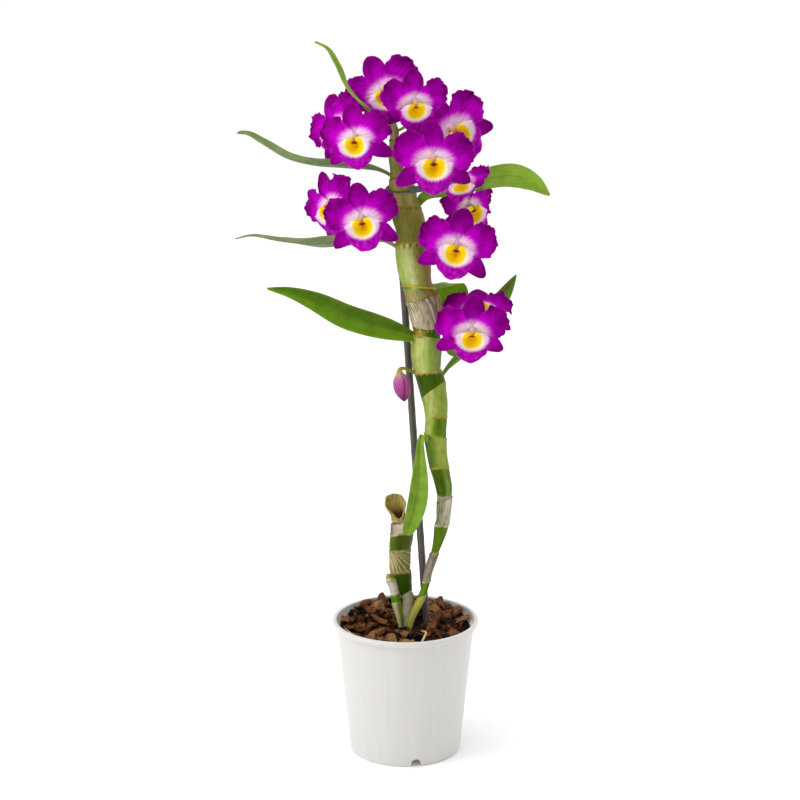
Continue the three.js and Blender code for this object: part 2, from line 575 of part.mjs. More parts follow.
// ---- Blooms --------------------------------------------------------------------------------------
// In a bloom's own frame x is right, y is up and z is out of its face, with the column at the origin.
function tepal(part, { angle, root, length, width }) {
  const heading = (angle * Math.PI) / 180;
  const out = new THREE.Vector3(Math.cos(heading), Math.sin(heading), 0);
  const side = new THREE.Vector3(-Math.sin(heading), Math.cos(heading), 0);
  const at = (u, v) => {
    const half = width * outline(u, 0.3, 0.58, part.tip);
    const far = root + length * u * (1 - part.round * v * v * u);
    const crimp = part.ruffle * u * u * v * v * Math.sin(part.waves * Math.PI * u * Math.sign(v) + 2.2 * v);
    const crest = part.ruffle * 0.5 * u ** 4 * Math.cos(3 * Math.PI * v);
    const z = part.depth + part.rise * Math.sin(Math.PI * u) - part.recurve * u * u + crimp + crest;
    return new THREE.Vector3(0, 0, z).addScaledVector(out, far).addScaledVector(side, half * v);
  };
  return blade(at, part.steps, part.across, PETAL_THICKNESS);
}

// The lip: a round bowl with a flared, crimped margin.
function lip() {
  const front = [];
  const back = [];
  const faces = [];
  const spot = (ring, spoke) => {
    const angle = (2 * Math.PI * spoke) / LIP.spokes;
    const share = ring / LIP.rings;
    const top = Math.exp(-((Math.cos(angle) / 0.3) ** 2));
    const tall = Math.sin(angle) > 0 ? LIP.above - (LIP.above - LIP.notch) * top : LIP.below;
    const bowl = LIP.bowl * Math.sin((Math.PI / 2) * Math.min(1, share * 1.35));
    const crimp = LIP.ruffle * share ** 4 * Math.cos(LIP.waves * angle);
    const upper = Math.sin(angle) > 0.3;
    const flare = LIP.flare * share ** 3 * (upper ? 0.2 : 1) + (upper ? 4 * top * share : 0);
    return new THREE.Vector3(
      LIP.centre[0] + LIP.halfWidth * share * Math.cos(angle),
      LIP.centre[1] + tall * share * Math.sin(angle),
      LIP.centre[2] + bowl - flare + crimp,
    );
  };
  const thick = PETAL_THICKNESS / 2;
  front.push(spot(0, 0).add(new THREE.Vector3(0, 0, thick)));
  back.push(spot(0, 0).add(new THREE.Vector3(0, 0, -thick)));
  for (let i = 1; i <= LIP.rings; i += 1) {
    for (let k = 0; k < LIP.spokes; k += 1) {
      const angle = (2 * Math.PI * k) / LIP.spokes;
      const out = new THREE.Vector3(Math.cos(angle), Math.sin(angle), 0);
      const normal = new THREE.Vector3(0, 0, 1).addScaledVector(out, i < LIP.rings ? -0.5 : 0.1).normalize();
      front.push(spot(i, k).addScaledVector(normal, thick));
      back.push(spot(i, k).addScaledVector(normal, -thick));
    }
  }
  const offset = front.length;
  const id = (i, k) => (i === 0 ? 0 : 1 + (i - 1) * LIP.spokes + (k % LIP.spokes));
  for (let k = 0; k < LIP.spokes; k += 1) {
    faces.push(0, id(1, k), id(1, k + 1), offset, offset + id(1, k + 1), offset + id(1, k));
    for (let i = 1; i < LIP.rings; i += 1) {
      const [a, b, c, d] = [id(i, k), id(i, k + 1), id(i + 1, k), id(i + 1, k + 1)];
      faces.push(a, c, d, a, d, b);
      faces.push(a + offset, d + offset, c + offset, a + offset, b + offset, d + offset);
    }
    const [c, d] = [id(LIP.rings, k), id(LIP.rings, k + 1)];
    faces.push(c, c + offset, d + offset, c, d + offset, d);
  }
  return toSolid(meshFrom([...front, ...back], faces));
}

function facing(bloom) {
  const frame = new THREE.Matrix4().makeBasis(new THREE.Vector3(1, 0, 0), new THREE.Vector3(0, 0, 1),
    new THREE.Vector3(0, -1, 0));
  const radians = (degrees) => (degrees * Math.PI) / 180;
  const turn = new THREE.Matrix4().makeRotationZ(radians(bloom.turn));
  const tilt = new THREE.Matrix4().makeRotationX(radians(-bloom.tilt));
  const roll = new THREE.Matrix4().makeRotationY(radians(-bloom.roll));
  return turn.multiply(tilt).multiply(roll).multiply(frame)
    .premultiply(new THREE.Matrix4().makeTranslation(...bloom.at));
}

function bloomPlace(bloom) {
  return facing(bloom).multiply(new THREE.Matrix4().makeScale(bloom.size, bloom.size, bloom.size));
}

function bloomStalk(bloom, extra) {
  const place = bloomPlace(bloom);
  const seat = new THREE.Vector3(0, -1.5, 0).applyMatrix4(place);
  const tail = new THREE.Vector3(0, -3.5, -STALK.tail).applyMatrix4(place);
  const joint = vector(bloom.joint);
  const bend = joint.clone().lerp(tail, 0.45).add(vector(bloom.bend));
  const path = new THREE.CatmullRomCurve3([seat, tail, bend, joint], false, 'centripetal');
  const rings = path.getSpacedPoints(STALK.steps).map((p, i) => {
    const swell = i < 2 ? 1.25 : 1;
    return [p.x, p.y, p.z, STALK.radius * swell];
  });
  return limb(rings, STALK.sides, extra);
}

function buildBloom(bloom) {
  const pieces = [];
  SEPALS.forEach((one) => pieces.push(tepal(SEPAL, one)));
  PETALS.forEach((one) => pieces.push(tepal(PETAL, one)));
  pieces.push(lip());
  pieces.push(limb([[0, 1, 0, COLUMN.radius], [0, 0.6, 5, COLUMN.radius],
    [0, 0, COLUMN.length, COLUMN.radius * 0.8]], COLUMN.sides));
  const heart = new THREE.OctahedronGeometry(1, 0);
  heart.scale(...HEART.size);
  heart.translate(...HEART.centre);
  pieces.push(toSolid(heart));
  return join(pieces).transform(bloomPlace(bloom).elements).add(bloomStalk(bloom, 0));
}

function buildBud() {
  const seat = vector(BUD.seat);
  const axis = vector(BUD.tip).sub(seat);
  const swell = [[0, 0.3], [0.12, 0.62], [0.32, 0.95], [0.55, 1], [0.78, 0.74], [0.93, 0.38], [1, 0.08]];
  const rings = swell.map(([t, share]) => {
    const p = seat.clone().addScaledVector(axis, t);
    return [p.x, p.y, p.z, BUD.radius * share];
  });
  const joint = vector(BUD.joint);
  const stalk = [seat.clone().addScaledVector(axis, 0.08), seat.clone().add(new THREE.Vector3(1.6, 1, 2.4)),
    vector(BUD.arch), joint];
  const path = new THREE.CatmullRomCurve3(stalk, false, 'centripetal');
  const tube = path.getSpacedPoints(5).map((p) => [p.x, p.y, p.z, BUD.stalkRadius]);
  return join([limb(rings, BUD.sides), limb(tube, 6)]);
}

// ---- The plant ---------------------------------------------------------------------------------------
const fatMain = limb(CANE_MAIN, CANE_SIDES, GAP + 0.15);
const fatCut = limb(CANE_CUT, CANE_SIDES, GAP + 0.1);
const fatShoot = limb(SIDE_SHOOT, 8, GAP + 0.1);
const fatStake = limb(stakeRings(), STAKE.sides, GAP + 0.1);
const shoots = [fatMain, fatCut, fatShoot, fatStake];
const throughSheaths = [
  ...LEAVES.filter((leaf) => leaf.name === 'leaf_right_drooping').map((leaf) => buildLeaf(leaf, 2 * GAP)),
  ...BLOOMS.filter((bloom) => bloom.name.startsWith('bloom_lowest')).map((bloom) => bloomStalk(bloom, GAP)),
];
const rhizome = buildRoots(0);
const fatRhizome = buildRoots(GAP + 0.1);

addPart('pot', buildPot(), MATERIALS.pot);
addPart('bark_medium', buildBark([...shoots, fatRhizome]), MATERIALS.bark);
const trimmedRhizome = largest(shoots.reduce((left, shoot) => left.subtract(shoot), rhizome));
addPart('rhizome_and_roots', trimmedRhizome, MATERIALS.root);
addPart('cane_main', limb(CANE_MAIN, CANE_SIDES), MATERIALS.cane);
addPart('cane_cut', limb(CANE_CUT, CANE_SIDES), MATERIALS.cane);
addPart('cut_cane_husk', limb(CUT_HUSK.outside, CANE_SIDES).subtract(limb(CUT_HUSK.inside, CANE_SIDES)),
  MATERIALS.husk);
addPart('side_shoot', limb(SIDE_SHOOT, 8).subtract(fatCut), MATERIALS.cane);
SHEATHS.forEach((sheath) => {
  const cut = throughSheaths.reduce((sleeve, thing) => sleeve.subtract(thing), buildSheath(sheath));
  addPart(sheath.name, largest(cut), MATERIALS.papery);
});
addPart('support_stake', limb(stakeRings(), STAKE.sides), MATERIALS.stake);
addPart('stake_clip', buildClip(), MATERIALS.clip);
LEAVES.forEach((leaf) => addPart(leaf.name, buildLeaf(leaf, 0).subtract(fatMain), finish(leaf.tone, 0.5)));
BLOOMS.forEach((bloom) => addPart(bloom.name, buildBloom(bloom).subtract(fatMain), MATERIALS.bloom));
addPart('bud', buildBud().subtract(fatMain), MATERIALS.bud);

export default plant;
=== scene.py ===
"""A potted dendrobium orchid: canes in a bark-filled pot, a clipped stake, strap leaves, frilled
blooms and a bud. Sizes are in millimetres until a mesh is made; +Z is up and -Y is the front."""
import math

import bpy
import numpy as np
from mathutils import Matrix, Vector


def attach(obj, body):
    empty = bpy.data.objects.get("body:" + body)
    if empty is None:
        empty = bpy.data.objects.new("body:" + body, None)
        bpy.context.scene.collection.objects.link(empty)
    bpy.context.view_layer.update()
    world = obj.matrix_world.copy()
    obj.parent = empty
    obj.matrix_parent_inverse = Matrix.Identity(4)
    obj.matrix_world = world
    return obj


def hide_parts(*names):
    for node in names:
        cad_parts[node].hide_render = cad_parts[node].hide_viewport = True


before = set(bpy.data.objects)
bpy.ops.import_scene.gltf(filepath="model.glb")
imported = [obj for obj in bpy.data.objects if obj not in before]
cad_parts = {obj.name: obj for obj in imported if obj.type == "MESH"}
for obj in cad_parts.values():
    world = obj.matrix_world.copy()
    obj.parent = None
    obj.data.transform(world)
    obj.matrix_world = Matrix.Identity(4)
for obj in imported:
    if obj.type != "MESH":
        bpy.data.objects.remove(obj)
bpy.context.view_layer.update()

MM = 0.001
FULL_TURN = 2 * math.pi
BODY = "root"

# ---- Pot ---------------------------------------------------------------------------------------------
POT = dict(height=112.5, rim_radius=60, mouth_radius=56.6, wall_top=56.4, base_radius=45.6,
           wall=1.5, floor=2, rim_height=4.5, columns=192, sharp=32)
DRAIN = dict(count=3, first_angle=-79, width=8, height=6.6, depth=10)

# ---- Bark --------------------------------------------------------------------------------------------
BARK = dict(level=102.2, slope=0.12, gap=0.3, mound=3.2, mound_start=-6, mound_run=46, crumb=0.8,
            cover=1.5, tone=0.12, seed=43, columns=144, top_rows=46, sharp=34)
# Low heaps at the sides of the pot: height, middle and spread.
HEAPS = [(2.2, (32, 18), (16, 20)), (3, (-42, 8), (16, 24))]
# Where stems and the stake stand, as x, y and the radius that chips keep clear of.
STEMS = [(3.5, 3.5, 7), (1, 13, 8), (-5, 7, 6.5), (17.5, 8.5, 5.5), (4, 8, 7)]
# Fine dark soil shows between the stems and the front wall: middle, spread and share of chips missing.
SOIL = dict(at=(6, -18), spread=(15, 12), bare=0.7)
# A chip's sizes in mm, its corners along, across and through it, and how far they stray, in mm.
CHIP = dict(kinds=12, long=(10, 21), wide=(6, 10), thick=(2.4, 5), corners=(5, 4, 3),
            ragged=(0.9, 0.45, 0.26))
# least and most are shares of a whole chip, spacing and reach are in mm, tilt is in radians, and density
# is in pieces per square metre.
CHIPS = dict(spacing=7.8, least=0.7, most=1.3, tilt=0.5, seed=11, shade=1.0, reach=50, density=60000)
CRUMBS = dict(spacing=3.0, least=0.14, most=0.42, tilt=3.0, seed=5, shade=0.6, reach=52, density=300000)
STRAWS = [
    dict(path=[[-50, -7, 106.2], [-44.5, -15, 104.4], [-39, -24, 102.4]], radius=0.6),
    dict(path=[[13.4, -5, 103], [16.8, -15, 105], [15.2, -23, 104], [11.6, -33, 99.6]], radius=0.9),
]
STRAW = dict(rows=40, columns=12, colours="#a88a58 #d8b884 #e3cb9a #c09a64")

# ---- Stake and clip ----------------------------------------------------------------------------------
STAKE = dict(foot=[23.5, 7, 14], top=[-8.2, 14.7, 484], radius=2.85, point=8, point_radius=0.6,
             cap=[-0.1, 0, 1.5], cap_radius=0.55, rows=260, columns=36, stud_spacing=9, stud_height=0.14)
CLIP = dict(level=468.9, height=2.4, wall=1.8, gap=0.3, columns=120, section=28,
            lugs=[dict(at=[-14.6, -9, 469], size=[5.5, 4.5, 3.6], lean=0.0),
                  dict(at=[8.5, -14.3, 471.6], size=[12, 4, 5], lean=-0.12)])

# ---- Canes -------------------------------------------------------------------------------------------
# Centre line and radius, from the root up, as [x, y, z, radius].
CANE_MAIN = [
    [3, 3.8, 97.5, 2.3], [4.9, 2.6, 110, 2.6], [8.4, 2, 119.2, 3.2], [12.6, 1.4, 128.2, 3.4],
    [15.5, 1, 137, 2.9], [17, 0.6, 143, 2.9], [18.2, 0.2, 150, 2.5], [20.4, 0, 158.4, 2.8],
    [23.2, 0, 167, 2.9], [25.7, 0, 175.6, 3.7], [27.8, 0, 184.1, 4.9], [29.1, -0.4, 191, 5.7],
    [30.4, -0.6, 196, 5.1], [31.1, -1, 205.5, 5.2], [31.6, -1.2, 216, 5.7], [30.9, -1.4, 226.3, 6.7],
    [29, -1.6, 235, 7.2], [27.5, -1.8, 241.4, 7.7], [26.2, -2, 248, 7.8], [24.8, -2.4, 258, 8.2],
    [24, -2.6, 266.5, 8.8], [24.1, -2.8, 275, 8.7], [24.7, -3, 282.4, 8.7], [24.5, -3.2, 289, 9],
    [23.9, -3.3, 297, 9.6], [22, -3.4, 305.6, 10.5], [20.3, -3.5, 314.6, 11.3], [17.4, -3.5, 322.6, 10.7],
    [16.7, -3.5, 331, 11.4], [16.4, -3.6, 341, 12], [16.5, -3.6, 350.4, 11.2], [17, -3.7, 357.6, 10.9],
    [15.8, -3.8, 366.4, 11.6], [14.6, -3.9, 376, 12.3], [12.6, -4, 384.2, 13.2], [9.8, -4, 390.4, 11.6],
    [8, -3.9, 398.6, 11.8], [6.9, -3.8, 405.4, 13], [5.2, -3.6, 413.4, 12.6], [4, -3.4, 420.8, 12],
    [3.6, -3.2, 426, 11.4], [4.6, -3.1, 432.6, 11.7], [3.6, -3, 441, 11.8], [1.4, -2.9, 448.8, 12],
    [0.4, -2.9, 454.2, 11.1], [-2, -2.8, 461, 10.7], [-2.8, -2.8, 468.6, 10.5], [-4.8, -2.6, 474.6, 8.4],
    [-6.3, -2.2, 483, 6], [-8.8, -1.6, 495.6, 4.7], [-9.2, -1, 506.5, 3.6], [-9, -0.6, 515, 3.5],
    [-11, 0, 523.5, 2.4],
]
CANE_CUT = [
    [-0.8, 10.4, 98.5, 2.8], [1.2, 13.4, 111.4, 3.4], [1.7, 14, 118, 3.7], [1.6, 14, 125.2, 4],
    [-0.2, 14, 131, 5.8], [-1.7, 14, 139, 6.9], [-2.6, 14, 145.6, 7.7], [-4, 14, 148.6, 8.2],
    [-4.4, 14, 157, 8.6], [-4.6, 14, 166, 8.8], [-3.9, 14, 173, 9.3], [-3, 14, 180, 9.5],
    [-3.8, 14, 187, 8.6], [-5, 14, 192, 7.4],
]
SIDE_SHOOT = [
    [-3.6, 8, 98.6, 2.4], [-4.8, 6.2, 112, 2.8], [-6.4, 5.6, 119, 3.5], [-7.6, 5, 125.4, 3.9],
    [-8.6, 4.6, 131.5, 3.7], [-10.4, 4, 139.5, 3.4], [-12.2, 3.5, 143.6, 3.5], [-13.6, 3, 147, 2.8],
    [-14.4, 3, 150, 1.5],
]
# Stretches of a cane, from the root up: level where it starts, how much that edge rises to the right,
# what covers it, and its colours across the front from the left to the right, which are the cane's own
# colours with painted light and shade across it.
MAIN_STRETCHES = [
    (90, 0, "stem", "#8f8a3a #b9bb52 #c3c060 #b3a468"),
    (131, 1.5, "stem", "#4f7008 #6c8c18 #5f7c10 #4c6808"),
    (144, 0, "dry", "#6c6050 #a49882 #9c9080 #84786c"),
    (168.7, 0, "stem", "#4a6800 #587800 #5c7c04 #446000"),
    (192.6, 0, "dry", "#7c7c60 #a7a78c #9a9a80 #7e7e64"),
    (217, 0, "stem", "#3a5400 #4c6600 #3f5a00 #7a963a #445c00"),
    (241.5, 0.4, "sheath", "#3c5c08 #5c7e24 #8ea042 #a0aa4c #7c9030"),
    (268.4, -2.4, "stem", "#8a9c3c #a8b45c #648412 #4c7004 #627e1a #4a6804"),
    (284.5, 0, "sheath", "#7a962a #aeb664 #b2b86a #86a03a #8a9c40 #7c9234"),
    (307.3, 7.5, "stem", "#446002 #3e5800 #405800 #485e06"),
    (321.2, 1, "sheath", "#8f9c40 #b2ba66 #b8c070 #8ca444 #7f9148 #74863e"),
    (350.5, -1.5, "stem", "#7a5c16 #a8903a #3c6404 #3a6002 #34560a"),
    (359, 0, "dry", "#8a8254 #a89c68 #8c8450 #7c7040 #6c6030"),
    (388.6, -1.5, "stem", "#4a7a10 #6c9428 #a8b45c #4c7410 #6a5c10 #645410"),
    (392.5, -1.5, "sheath", "#8ca23c #acb860 #c0c886 #98994e #857a3a #7c6e32"),
    (426.3, 0.5, "sheath", "#566c10 #86843c #7a7834 #88823c #988e46"),
    (454.3, 0.5, "sheath", "#86793a #a89c58 #8c7e42 #9c9450 #80783a"),
    (478, 1, "stem", "#6c6c24 #8f9148 #84863c #6a6820"),
    (508, 0, "stem", "#8a8a48 #a6a468 #98965a #7e7c3e"),
]
# Node rings: level, rise to the right, height, share of the way round from the left that it shows
# from and to, and colour.
MAIN_RINGS = [
    (143.6, 0, 0.5, 0, 1, "#d9d2b6"), (192.4, 0, 0.6, 0, 1, "#d8d8b4"), (217, 0, 0.25, 0, 1, "#b8ae84"),
    (241.4, 0.4, 0.45, 0, 1, "#b99a3a"), (268.5, -2.4, 0.35, 0, 1, "#8ea23a"),
    (284.5, 0, 0.4, 0.3, 1, "#bb8a2c"), (321.2, 1, 0.55, 0, 1, "#c9a22a"),
    (350, -1.5, 0.3, 0, 0.4, "#8a5c18"), (358.4, 0, 0.5, 0, 1, "#b8a02a"),
    (391.6, -1.5, 0.6, 0, 1, "#caa72c"), (426.3, 0.5, 0.5, 0, 1, "#a5892a"),
    (454.3, 0.5, 0.45, 0, 1, "#8c761e"), (478, 1, 0.4, 0, 1, "#6a5a12"),
    (495.6, 0, 0.5, 0, 1, "#6e6418"), (508, 0, 0.7, 0, 1, "#5c5212"),
]
CUT_STRETCHES = [
    (90, 0, "dry", "#a8a46c #e0dcc4 #cfcaac #a8a478"),
    (129, 3, "stem", "#5c7e14 #3c5a02 #2e4600 #4a6408"),
    (147.3, 0.9, "straw", "#a88c6a #988c50 #78743a #847e44 #7c7c42"),
    (166.2, 0.9, "stem", "#546c04 #4a5e00 #384a00 #525e14 #7c8050"),
    (181.2, 1.7, "dry", "#6c5c50 #c0b4a4 #d8cec0 #b8a894"),
]
CUT_RINGS = [
    (147.2, 0.9, 0.6, 0, 1, "#b89a56"), (166.2, 0.9, 0.3, 0, 1, "#a8a060"), (181, 1.7, 0.6, 0, 1, "#cbb678"),
]
SHOOT_STRETCHES = [
    (90, 0, "dry", "#b9b680 #dcd8ae #8a9040 #6f7a2c"),
    (124.5, 1, "stem", "#4a7a14 #5c8a1c #3f6c0c"),
    (131.5, 1, "dry", "#b8b49a #dedac6 #cfc9b2 #aaa48c"),
    (145, 0, "stem", "#8a8638 #a9a45c #7c7a2c"),
]
SHOOT_RINGS = [(131.4, 1, 0.25, 0, 1, "#c8c496"), (143.8, 0.6, 0.5, 0, 1, "#8f9240")]
# How far each covering stands off the stem, and how dry it is.
COVERS = {"stem": (0.0, 0.0), "sheath": (0.3, 0.25), "dry": (0.1, 1.0), "straw": (0.15, 0.8)}
# Pale fibres of the straw covering: they fan out from a point to the left of and above its upper edge.
FAN = dict(radius=7.5, left=8.5, above=5, count=44, colour="#e6e2c4")
# Frayed fibres that hang down from a node: level, rise to the right, length and colours.
MAIN_FRINGES = [(426.6, 0.5, 5.5, "#a08a20", "#54440c"), (358.6, -1, 4.5, "#a88c28", "#5c420c"),
                (454.6, 0.5, 2.5, "#94801e", "#5a4a18"), (321.7, 1, 2.6, "#b49a8c", "#7c6a3c")]
CUT_FRINGES = [(192, 0, 4, "#a8905c", "#5c4a38"), (166.8, 0.9, 2, "#a89c58", "#5c5a20")]

# The dry husk on the cut cane, outside and inside, as [x, y, z, radius]; its front has split open.
CUT_HUSK = dict(
    outside=[[-5, 14, 192.3, 6.9], [-6, 14, 196.3, 6.2], [-8, 13, 203.3, 8], [-8.4, 12, 210.5, 8.6],
             [-8.6, 12, 213.5, 7.8]],
    inside=[[-8.6, 12, 213.9, 7.0], [-8.4, 12, 210.5, 7.9], [-8, 13, 204.5, 7.2], [-6.4, 14, 198.5, 5.2],
            [-5.6, 14, 194.6, 4.2]],
    split=18.6, split_heading=-1.45, split_round=1.5, rows=34, columns=144,
    # skin holds the husk's own colours with painted light and shade across the front, left to right.
    skin="#b0a434 #9c8e46 #8a7440 #94784a #7c6c3c", skin_wrinkle="#5c4c26", skin_foot="#b49c74",
    # The lining is painted darker towards the bottom of the pit, with a near-black patch there: painted
    # shade.
    lining="#4a3018 #94803c #b49c54 #c0ac64 #c4b06c #c0aa64", lining_wrinkle="#6a5426",
    pit_painted_shade="#1c0c06", flap="#b07c6c", rim="#c8b45c")
# Papery sheaths that sleeve the main cane between two heights; low is the heading, in degrees, where
# the top edge is cut lowest, and lean slants the streaks.
SHEATHS = [
    dict(name="papery_sheath_low", start=144.6, end=168, flare=0.2, notch=3, low=-90, lean=0.2, seed=3,
         colours="#6c6050 #a49882 #9c9080 #84786c", streak="#5a4e42"),
    dict(name="papery_sheath_middle", start=194, end=217, flare=0.1, notch=5, low=200, lean=-0.3, seed=8,
         colours="#56603a #8c8c6a #a8a488 #d0cabc #b0a898", streak="#7c7a5c"),
    dict(name="papery_sheath_upper", start=359.5, end=386, flare=0.6, notch=6, low=200, lean=0.5, seed=21,
         colours="#a89a76 #cabf9e #bcb092 #a89c80 #b8ac90 #94866c #a58468", streak="#3c3226"),
]
SHEATH = dict(clearance=0.35, wall=0.4, rows=64, columns=180, pale="#ded6c0", inside_shade=0.75)

# ---- Rhizome and roots -------------------------------------------------------------------------------
RHIZOME = [[-4.4, 8.4, 97.6, 3.4], [-0.6, 10.4, 96.6, 4], [2, 6.8, 96, 4.4], [4.2, 2.4, 95.6, 3.6]]
RHIZOME_SKIN = dict(columns=28, colours="#8a8a3c #a5a24a #b0ac52 #8f8638")
ROOTS = dict(count=4, radius=1.5, reach=62, spread=30, seed=17, rows=48, columns=14,
             colours="#cfc49a #d8d0b0 #c2b68c #a8965c")

# ---- Leaves ------------------------------------------------------------------------------------------
# Midrib points, half width, share of it at the tip, and the roll of the blade about the midrib in
# degrees, at even steps from the base to the tip. halves is how much lighter one half of the blade is
# painted, and darker the other: painted light and shade across the midrib. end is its colour towards
# the tip, if that changes.
LEAVES = [
    dict(name="leaf_top", width=4.8, roll=[-4, -12], fold=0.25, peak=0.45, tip=0.3,
         top="#8ea83c", under="#9cb04c",
         rib=[[-10.4, -0.6, 517], [-21, -9, 524.6], [-32, -18, 537], [-46, -22, 553],
              [-53.4, -21, 569], [-60, -18, 580.6], [-70, -14, 586]]),
    dict(name="leaf_upper_left", width=10, roll=[32, 26], fold=0.18, peak=0.5, tip=0.34,
         top="#607a34", under="#7c8e5c",
         rib=[[-6, -1, 473], [-12, 0, 480], [-24, 4, 484.5], [-49, 9, 487], [-73, 11, 488],
              [-92, 11, 492.5], [-113, 10, 505], [-124, 9, 511.5], [-132.5, 8, 512.4]]),
    dict(name="leaf_middle_left", width=11.5, roll=[34, 34, 34, 20, 8], fold=0.16, peak=0.45, tip=0.2,
         top="#607a34", under="#7c8a60",
         rib=[[-3, -3, 420], [-10, -2, 425], [-22, 3, 428.4], [-49, 8, 426],
              [-75, 9, 424], [-100, 9, 426.6], [-122, 8, 430.6], [-135.5, 8, 428]]),
    dict(name="leaf_lower_left", width=11.5, roll=[-40, -54], fold=0.2, peak=0.34, tip=0.06, ease=0.75,
         top="#5f8614", under="#7fa04a", painted_light_halves=0.24,
         rib=[[10, -7, 350], [-2, -9, 354], [-27, -9, 361], [-48, -8, 368], [-72, -6, 379.5],
              [-92, -5, 387], [-110, -4, 390.4]]),
    dict(name="leaf_upper_right", width=11.5, roll=[34, 48], fold=0.18, peak=0.68, tip=0.06,
         top="#86aa34", under="#7ca030", painted_light_halves=0.06,
         rib=[[6, -1, 453], [15, 4, 462.6], [27, 11, 465.4], [45, 15, 469.4], [66, 15, 474.8],
              [84, 12, 477], [100, 7, 473], [113.5, 2, 464]]),
    # Painted light: this hanging blade is painted a brighter green, paler still towards its tip, for light
    # that comes through it.
    dict(name="leaf_right_drooping", width=12.5, roll=[0, 0], fold=0.15, peak=0.4, tip=0.5,
         top="#80b404", under="#86a844", end="#a4c460", side=[1, 0, 0],
         rib=[[18, 3, 386], [27, 15, 390], [35.4, 26, 386.6], [39.6, 31, 373],
              [41.6, 32, 356], [40.8, 31, 342], [38.4, 29.8, 327]]),
    dict(name="leaf_lower_right", width=9.5, roll=[-62, -84], fold=0.22, peak=0.56, tip=0.04, ease=2,
         top="#628214", under="#66862c",
         rib=[[25, 0, 311], [33, 7, 321], [43.4, 13, 330.4], [57.4, 19, 344.6],
              [69.6, 23, 361], [79.6, 25, 378.6], [89, 24, 396]]),
    dict(name="leaf_front", width=7.8, roll=[0, 0], fold=0.28, peak=0.68, tip=0.5, ease=2,
         top="#7ea032", under="#88a23c", painted_light_halves=0.12, side=[1, 0, 0],
         rib=[[19, -8, 265], [14, -13, 272], [12, -16, 268], [11.6, -17.4, 255],
              [11.4, -18, 238], [9.8, -18, 220], [6, -17.5, 204], [0.4, -17, 189.6]]),
]
LEAF = dict(thickness=0.9, margin=0.35, rows=130, columns=37, base=0.24, wave=0.7, wave_rate=9,
            uneven=0.35, groove=0.45, groove_width=0.8, vein=0.05, vein_spacing=1.9, rib_width=0.6, keel=0.5,
            keel_width=1.1, seed=60)
LEAF_TINTS = dict(rib="#9ab454", rib_above=0.25, rib_below=0.3, margin="#9aac4c", base="#8c9c2c",
                  tip="#84803a")

# ---- Blooms ------------------------------------------------------------------------------------------
# Seat of the column, turn to the right, tilt up and roll in degrees, and where the stalk joins the cane.
BLOOMS = [
    dict(name="bloom_top", at=[-17, 13, 545.6], turn=-6, tilt=8, roll=28, size=1,
         joint=[-9.6, 0, 519], bend=[-4, 4, 6]),
    dict(name="bloom_top_front", at=[6.4, -24.4, 541.4], turn=16, tilt=-14, roll=2, size=0.87,
         joint=[-9, 0, 514], bend=[4, 6, -6]),
    dict(name="bloom_upper_right", at=[36, 6, 515.6], turn=14, tilt=4, roll=40, size=1.06,
         joint=[-8.8, 0, 508], bend=[2, 8, -6]),
    dict(name="bloom_upper_left", at=[-38.4, -27, 514], turn=-16, tilt=2, roll=12, size=0.92,
         joint=[-9, 0, 503], bend=[0, 10, -4]),
    dict(name="bloom_far_left", at=[-54, 11, 517], turn=-42, tilt=6, roll=32, size=0.96,
         joint=[-9, 0, 499], bend=[10, 6, -8]),
    dict(name="bloom_middle", at=[21, -36.5, 498.6], turn=5, tilt=6, roll=0, size=1.02,
         joint=[-8.6, -1, 493], bend=[0, 10, -4]),
    dict(name="bloom_middle_right", at=[42.5, -9, 479.6], turn=16, tilt=-34, roll=0, size=0.76,
         joint=[-8, 0, 487], bend=[-4, 2, 6]),
    dict(name="bloom_left", at=[-34, -24, 450], turn=-4, tilt=4, roll=12, size=0.96,
         joint=[-4, -2, 456], bend=[2, 8, 6]),
    dict(name="bloom_left_outer", at=[-59, 6, 456], turn=-44, tilt=-4, roll=30, size=0.95,
         joint=[-4, -2, 453], bend=[6, 6, 2]),
    dict(name="bloom_right_behind", at=[50, 27.6, 450.4], turn=44, tilt=6, roll=-4, size=0.92,
         joint=[6, -2, 431], bend=[-4, 2, -6], seed=73),
    dict(name="bloom_right", at=[40, -25, 429], turn=-2, tilt=4, roll=-10, size=1,
         joint=[8, -4, 428], bend=[-2, 10, 2]),
    dict(name="bloom_lowest", at=[52, -30, 362.5], turn=4, tilt=-8, roll=-4, size=0.95,
         joint=[22, -3.6, 360], bend=[-4, 10, 2]),
    dict(name="bloom_lowest_behind", at=[58, 7, 371], turn=4, tilt=54, roll=0, size=0.9,
         joint=[22, -2.6, 364], bend=[-2, 2, -2]),
]
# A sepal's or petal's form, in mm: depth behind the bloom's face, rise of its middle, recurve of its tip,
# ruffle, frill and dents, and warp for how far one may differ from the next. Of each single one, pale
# widens its pale claw and blunt rounds its tip.
SEPAL = dict(depth=-2.6, rise=1.2, recurve=3.4, ruffle=0, waves=1, frill=0.22, dents=0.22,
             warp=1.1, rows=48, columns=25, thickness=0.6, margin=0.3)
SEPALS = [dict(angle=90, root=0.8, length=28.4, width=9.4, pale=-1.0, blunt=1.8),
          dict(angle=215, root=2.4, length=31.4, width=7.6, pale=-2.5, blunt=1.15),
          dict(angle=325, root=2.4, length=31.4, width=7.6, pale=-2.5, blunt=1.15)]
PETAL = dict(depth=0.6, rise=1.4, recurve=2, ruffle=2.2, waves=4.5, frill=1.3, dents=0.5,
             warp=1.9, rows=56, columns=45, thickness=0.5, margin=0.24)
PETALS = [dict(angle=20, root=2.8, length=28.8, width=14, pale=-0.8, blunt=2.8),
          dict(angle=160, root=2.8, length=28.8, width=14, pale=-0.8, blunt=2.8)]
